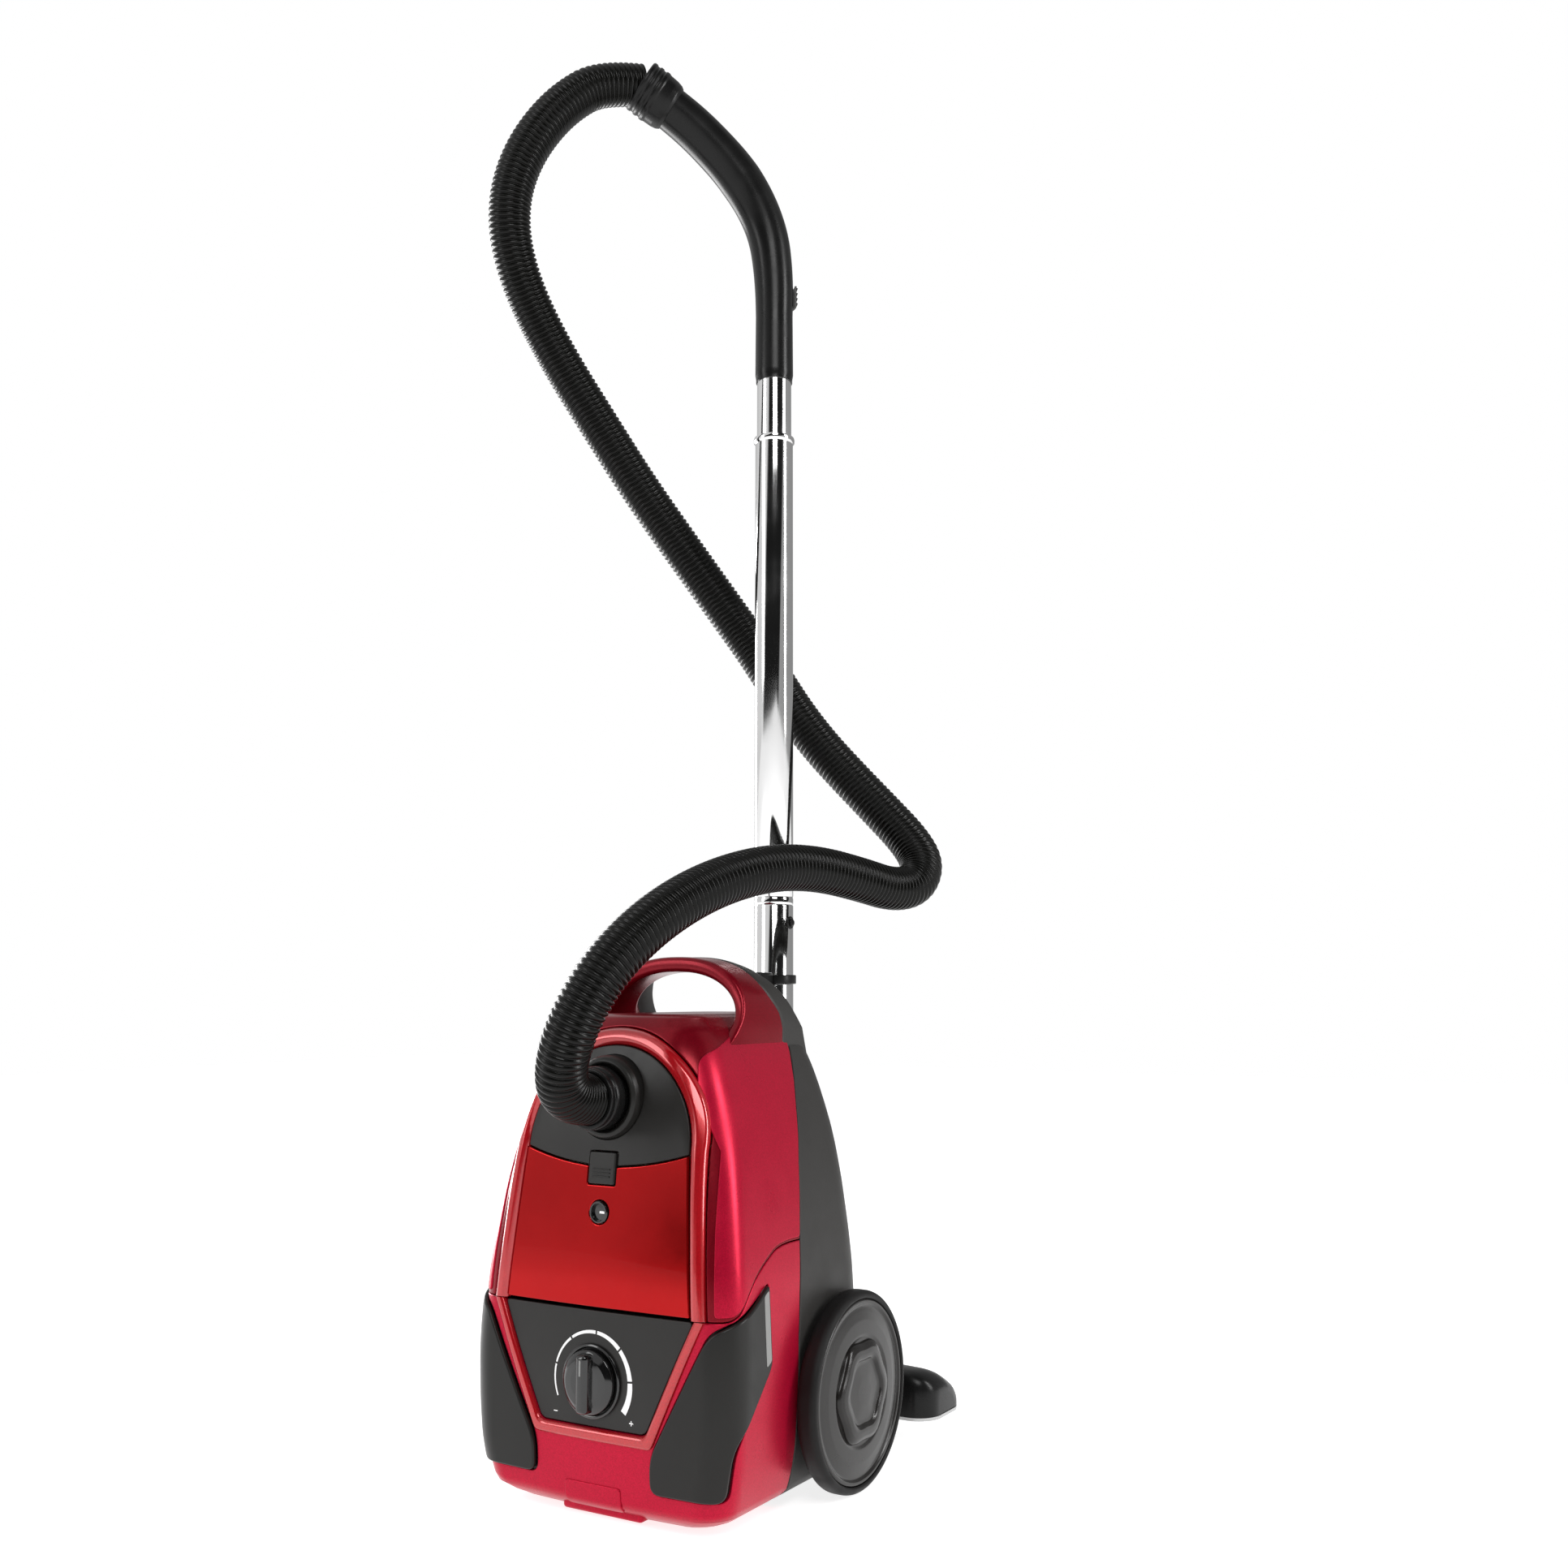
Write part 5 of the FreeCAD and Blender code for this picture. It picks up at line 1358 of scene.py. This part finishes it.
def parking_clip():
    """Clip ring round the tube with its lug and the tongue that drops into the bracket."""
    tube = LOWER_TUBE_BOX[1].x / MM
    ring = [(tube + 0.1, -4), (tube + 2.0, -4), (tube + 2.5, -3.4), (tube + 2.5, 3.4), (tube + 2.0, 4),
            (tube + 0.1, 4), (tube + 0.1, -4)]
    band = lathe("clip_ring", ring, wand_spot(CLIP_Z), (0, 0, 1), "black", "wand", 0.4, 96)
    half, lug_end, tongue_thick, tongue_low = 10.0, 121.2, 8.0, CLIP_Z - 50
    lug = soft_box("clip_lug", place(-half, CLIP_TIP_Y, CLIP_Z - 9), place(half, lug_end, CLIP_Z + 6),
                   1.6, "black", "wand", 4)
    tongue = soft_box("clip_tongue", place(-half, CLIP_TIP_Y, tongue_low),
                      place(half, CLIP_TIP_Y + tongue_thick, CLIP_Z - 4), 1.4, "black", "wand", 4)
    obj = joined("wand_clip", [band, lug, tongue])
    stand_for(obj, "black_plastic", "parking_clip")


def neck():
    """Swivel neck of the nozzle: flared socket for the tube and a round hub at the pivot."""
    top = local_box("nozzle_neck")[1].z
    profile = [(17.6, top), (20.6, top), (21.5, top - 1.0), (21.5, top - 9), (20.4, top - 10),
               (20.4, 109), (21.5, 107), (21.5, 83), (20.8, 71), (17.0, 63), (12.0, 57)]
    socket = lathe("neck_socket", profile, wand_spot(0), (0, 0, 1), "black", "wand", 0.8, 96)
    hub_profile = [(4.1, -24), (15.6, -24), (17.0, -22.6), (17.0, 22.6), (15.6, 24), (4.1, 24)]
    knuckle = lathe("neck_hub", hub_profile, wand_spot(PIVOT_Z), (1, 0, 0), "black", "wand", 0.5, 96)
    obj = joined("nozzle_neck_moulding", [socket, knuckle])
    stand_for(obj, "black_plastic", "nozzle_neck")


# ---------------------------------------------------------------- floor nozzle
def nozzle_head():
    """Low wedge head: rounded ends, bumper line, raised middle behind the rocker."""
    low, high = local_box("nozzle_body")
    half, rear, front = high.x - 0.6, HEAD_NEAR_Y, high.y
    columns, rows = 60, 28
    # side view of the head: y, height over its underside
    profile = [(rear, 0), (rear, 8), (rear + 0.6, 22), (rear + 3, 32), (rear + 9, 37), (rear + 24, 37.5),
               (rear + 38, 34), (front - 20, 27.5), (front - 8, 20), (front - 1.8, 12), (front, 7),
               (front, 0)]
    fine = []
    for k in range(rows + 1):
        where = k / rows * (len(profile) - 1)
        i = min(int(where), len(profile) - 2)
        s = where - i
        s0, s1 = np.array(profile[i], float), np.array(profile[i + 1], float)
        before = np.array(profile[max(i - 1, 0)], float)
        after = np.array(profile[min(i + 2, len(profile) - 1)], float)
        fine.append(0.5 * ((2 * s0) + (s1 - before) * s + (2 * before - 5 * s0 + 4 * s1 - after) * s * s
                           + (3 * s0 - before - 3 * s1 + after) * s ** 3))
    # the underside has a slot for the brush
    brush_low, brush_high = local_box("brush_strip")
    slot_half = brush_high.x + 1.2
    slot_row = len(fine)
    fine += [np.array([brush_high.y + 1.2, 0]), np.array([brush_low.y - 1.2, 0])]
    verts, faces = [], []
    mid = (rear + front) / 2
    for c in range(columns + 1):
        x = half * math.sin((-1 + 2 * c / columns) * math.pi / 2)
        end = max(0.0, (abs(x) - (half - 24)) / 24)
        squeeze = math.sqrt(max(0.0, 1 - end ** 2.4))
        for y, height in fine:
            y_now = mid + (y - mid) * (0.42 + 0.58 * squeeze)
            rise = max(height, 0) * (0.50 + 0.50 * squeeze) * (1 - 0.10 * (abs(x) / half) ** 2)
            verts.append(place(x, y_now, HEAD_LOW_Z + rise))
    per = len(fine)
    for c in range(columns):
        near_x = half * math.sin((abs(2 * c + 1 - columns) - 1) / columns * math.pi / 2)
        for r in range(per):
            if r == slot_row and near_x < slot_half:
                continue
            a, b = c * per + r, c * per + (r + 1) % per
            faces.append((a, b, b + per, a + per))
    faces.append(tuple(range(per)))
    faces.append(tuple(range(columns * per, (columns + 1) * per)))
    head = crisp(mesh_object("nozzle_head", verts, faces, "black", "nozzle"), 50)
    arms = []
    for side in (1, -1):
        x0, x1 = sorted((side * 25.2, side * 35))
        knuckle = [(4.0, 0), (13.6, 0), (15, 1.2), (15, x1 - x0 - 1.2), (13.6, x1 - x0), (4.0, x1 - x0)]
        arms.append(lathe("arm_knuckle", knuckle, place(x0, WAND_Y, PIVOT_Z), (1, 0, 0), "black", "nozzle",
                          0.4, 64))
        low, high = place(x0, WAND_Y + 2, PIVOT_Z - 15), place(x1, rear + 6, PIVOT_Z - 1)
        arms.append(soft_box("arm_web", low, high, 2.0, "black", "nozzle"))
    obj = joined("nozzle_head_moulding", [head] + arms)
    stand_for(obj, "nozzle_grey", "nozzle_body")
    low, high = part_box("nozzle_rocker")
    pad = soft_box("rocker_pad", (low.x, low.y, high.z - 0.0030), (high.x, high.y, high.z + 0.0006), 1.3,
                   "pedal", "rocker", 4)
    stand_for(pad, "nozzle_grey", "nozzle_rocker")


# ---------------------------------------------------------------- kept CAD nodes
def keep_nodes():
    """CAD nodes whose own shape is right get their finish here."""
    finish = {
        "steel": ["sole_plate", "lid_hinge_pin", "wheel_axles", "case_screws", "latch_spring",
                  "pedal_spring_right", "pedal_spring_left", "nozzle_pivot_pin"],
        "inner": ["partition_wall", "bag_collar", "motor_housing", "reel_frame", "cord_reel",
                  "potentiometer"],
        "board": ["circuit_board"],
        "filter": ["pre_motor_filter", "exhaust_filter"],
        "seal": ["lid_seal"],
        "motor": ["fan_rotor"],
        "bristle": ["brush_strip"],
        "tyre": ["caster_wheel", "nozzle_rollers"],
        "black": ["caster_fork"],
        "grey": ["parking_bracket"],
    }
    for word, nodes in finish.items():
        for node in nodes:
            obj = frame["nodes"][node]
            for slot_place in obj.material_slots:
                slot_place.material = MATERIAL[word]


# ---------------------------------------------------------------- studio
CAMERA_SPOT = (0.7133, -1.0866, 0.3765)
CAMERA_TURN = 30.96
CAMERA_RISE = 7.77
CAMERA_LENS = 35.1
# brightness of the surroundings once round, from 0 to 1, with the dark gap at 0.5
GAP_TURN = 59.0
GAP_LEAN = 1.2                     # radians the gap leans over, from the horizon to overhead
SURROUND = [(0.0, 0.55), (0.12, 0.75), (0.318, 0.75), (0.338, 0.012), (0.585, 0.012), (0.60, 0.36),
            (0.88, 0.30), (1.0, 0.55)]


def area_light(name, spot, aim, size, power):
    data = bpy.data.lights.new(name, "AREA")
    data.shape = "RECTANGLE"
    data.size, data.size_y = size
    data.energy = power
    light = bpy.data.objects.new(name, data)
    light.location = spot
    direction = Vector(aim) - Vector(spot)
    light.rotation_euler = direction.to_track_quat("-Z", "Y").to_euler()
    bpy.context.scene.collection.objects.link(light)


def studio_world():
    """White backdrop, and soft surroundings with a dark gap in front and a grey side."""
    world = bpy.data.worlds.new("studio")
    bpy.context.scene.world = world
    world.use_nodes = True
    nodes, link = world.node_tree.nodes, world.node_tree.links.new

    def made(kind, **joins):
        """A node of that kind, with outputs of other nodes joined to its inputs."""
        node = nodes.new("ShaderNode" + kind)
        for socket, source in joins.items():
            link(source, node.inputs[socket])
        return node

    ray = made("SeparateXYZ", Vector=made("TexCoord").outputs["Generated"]).outputs
    turn = made("VectorRotate", Vector=made("CombineXYZ", X=ray["X"], Y=ray["Y"]).outputs["Vector"])
    turn.rotation_type = "Z_AXIS"
    turn.inputs["Angle"].default_value = math.radians(GAP_TURN)
    level = made("SeparateXYZ", Vector=turn.outputs["Vector"]).outputs
    angle = made("Math")
    angle.operation = "ARCTAN2"
    link(level["Y"], angle.inputs[0])
    link(level["X"], angle.inputs[1])
    lean = made("Math")
    lean.operation = "MULTIPLY_ADD"
    link(ray["Z"], lean.inputs[0])
    lean.inputs[1].default_value = -GAP_LEAN
    link(angle.outputs["Value"], lean.inputs[2])
    share = made("MapRange", Value=lean.outputs["Value"])
    share.inputs["From Min"].default_value = -math.pi
    share.inputs["From Max"].default_value = math.pi
    ramp = made("ValToRGB", Fac=share.outputs["Result"])
    stops = ramp.color_ramp.elements
    while len(stops) < len(SURROUND):
        stops.new(0.5)
    for stop, (where, value) in zip(stops, SURROUND):
        stop.position = where
        stop.color = (value, value, value, 1)
    mix = nodes.new("ShaderNodeMix")
    mix.data_type = "RGBA"
    mix.inputs["B"].default_value = (1, 1, 1, 1)
    link(made("LightPath").outputs["Is Camera Ray"], mix.inputs["Factor"])
    link(ramp.outputs["Color"], mix.inputs["A"])
    background = nodes["Background"]
    link(mix.outputs["Result"], background.inputs["Color"])
    background.inputs["Strength"].default_value = 1.0


def floor():
    look = Look("floor_pale")
    look.put("Base Color", (0.55, 0.55, 0.55, 1))
    look.put("Roughness", 0.9)
    look.put("Specular IOR Level", 0.1)
    look.put("Emission Color", (1, 1, 1, 1))
    look.put("Emission Strength", 0.82)
    mesh = bpy.data.meshes.new("floor")
    size = 6.0
    mesh.from_pydata([(x, y, 0) for x, y in rectangle(size, -size, size)], [], [(0, 1, 2, 3)])
    shown("floor", mesh, look.material)


def studio():
    studio_world()
    floor()
    area_light("key", (1.5, -1.9, 2.3), (0, 0, 0.4), (1.2, 1.2), 34)
    area_light("side", (2.4, 0.6, 1.3), (0, 0, 0.35), (0.5, 1.8), 36)
    area_light("front_fill", (-1.6, -2.2, 1.4), (0, 0, 0.4), (0.8, 1.6), 16)
    area_light("left_strip", (-2.2, 0.6, 0.6), (0, 0, 0.25), (0.9, 1.6), 36)
    scene = bpy.context.scene
    scene.view_settings.view_transform = "Standard"
    camera_data = bpy.data.cameras.new("camera")
    camera_data.lens = CAMERA_LENS
    camera_data.sensor_width = 36.0
    camera_data.clip_start = 0.01
    camera = bpy.data.objects.new("camera", camera_data)
    camera.location = CAMERA_SPOT
    camera.rotation_euler = (math.radians(90 + CAMERA_RISE), 0, math.radians(CAMERA_TURN))
    scene.collection.objects.link(camera)
    scene.camera = camera


def build():
    studio()
    hose()
    hose_cuff()
    upper_housing()
    side_facets()
    lower_housing()
    base_shell()
    handle()
    front_trim()
    lid()
    lid_window()
    inlet()
    latch()
    control_panel()
    dial_marks()
    knob()
    pedals()
    wheels()
    underside()
    bag()
    tubes()
    snap_button()
    grip_details(grip())
    parking_clip()
    neck()
    nozzle_head()
    keep_nodes()


build()
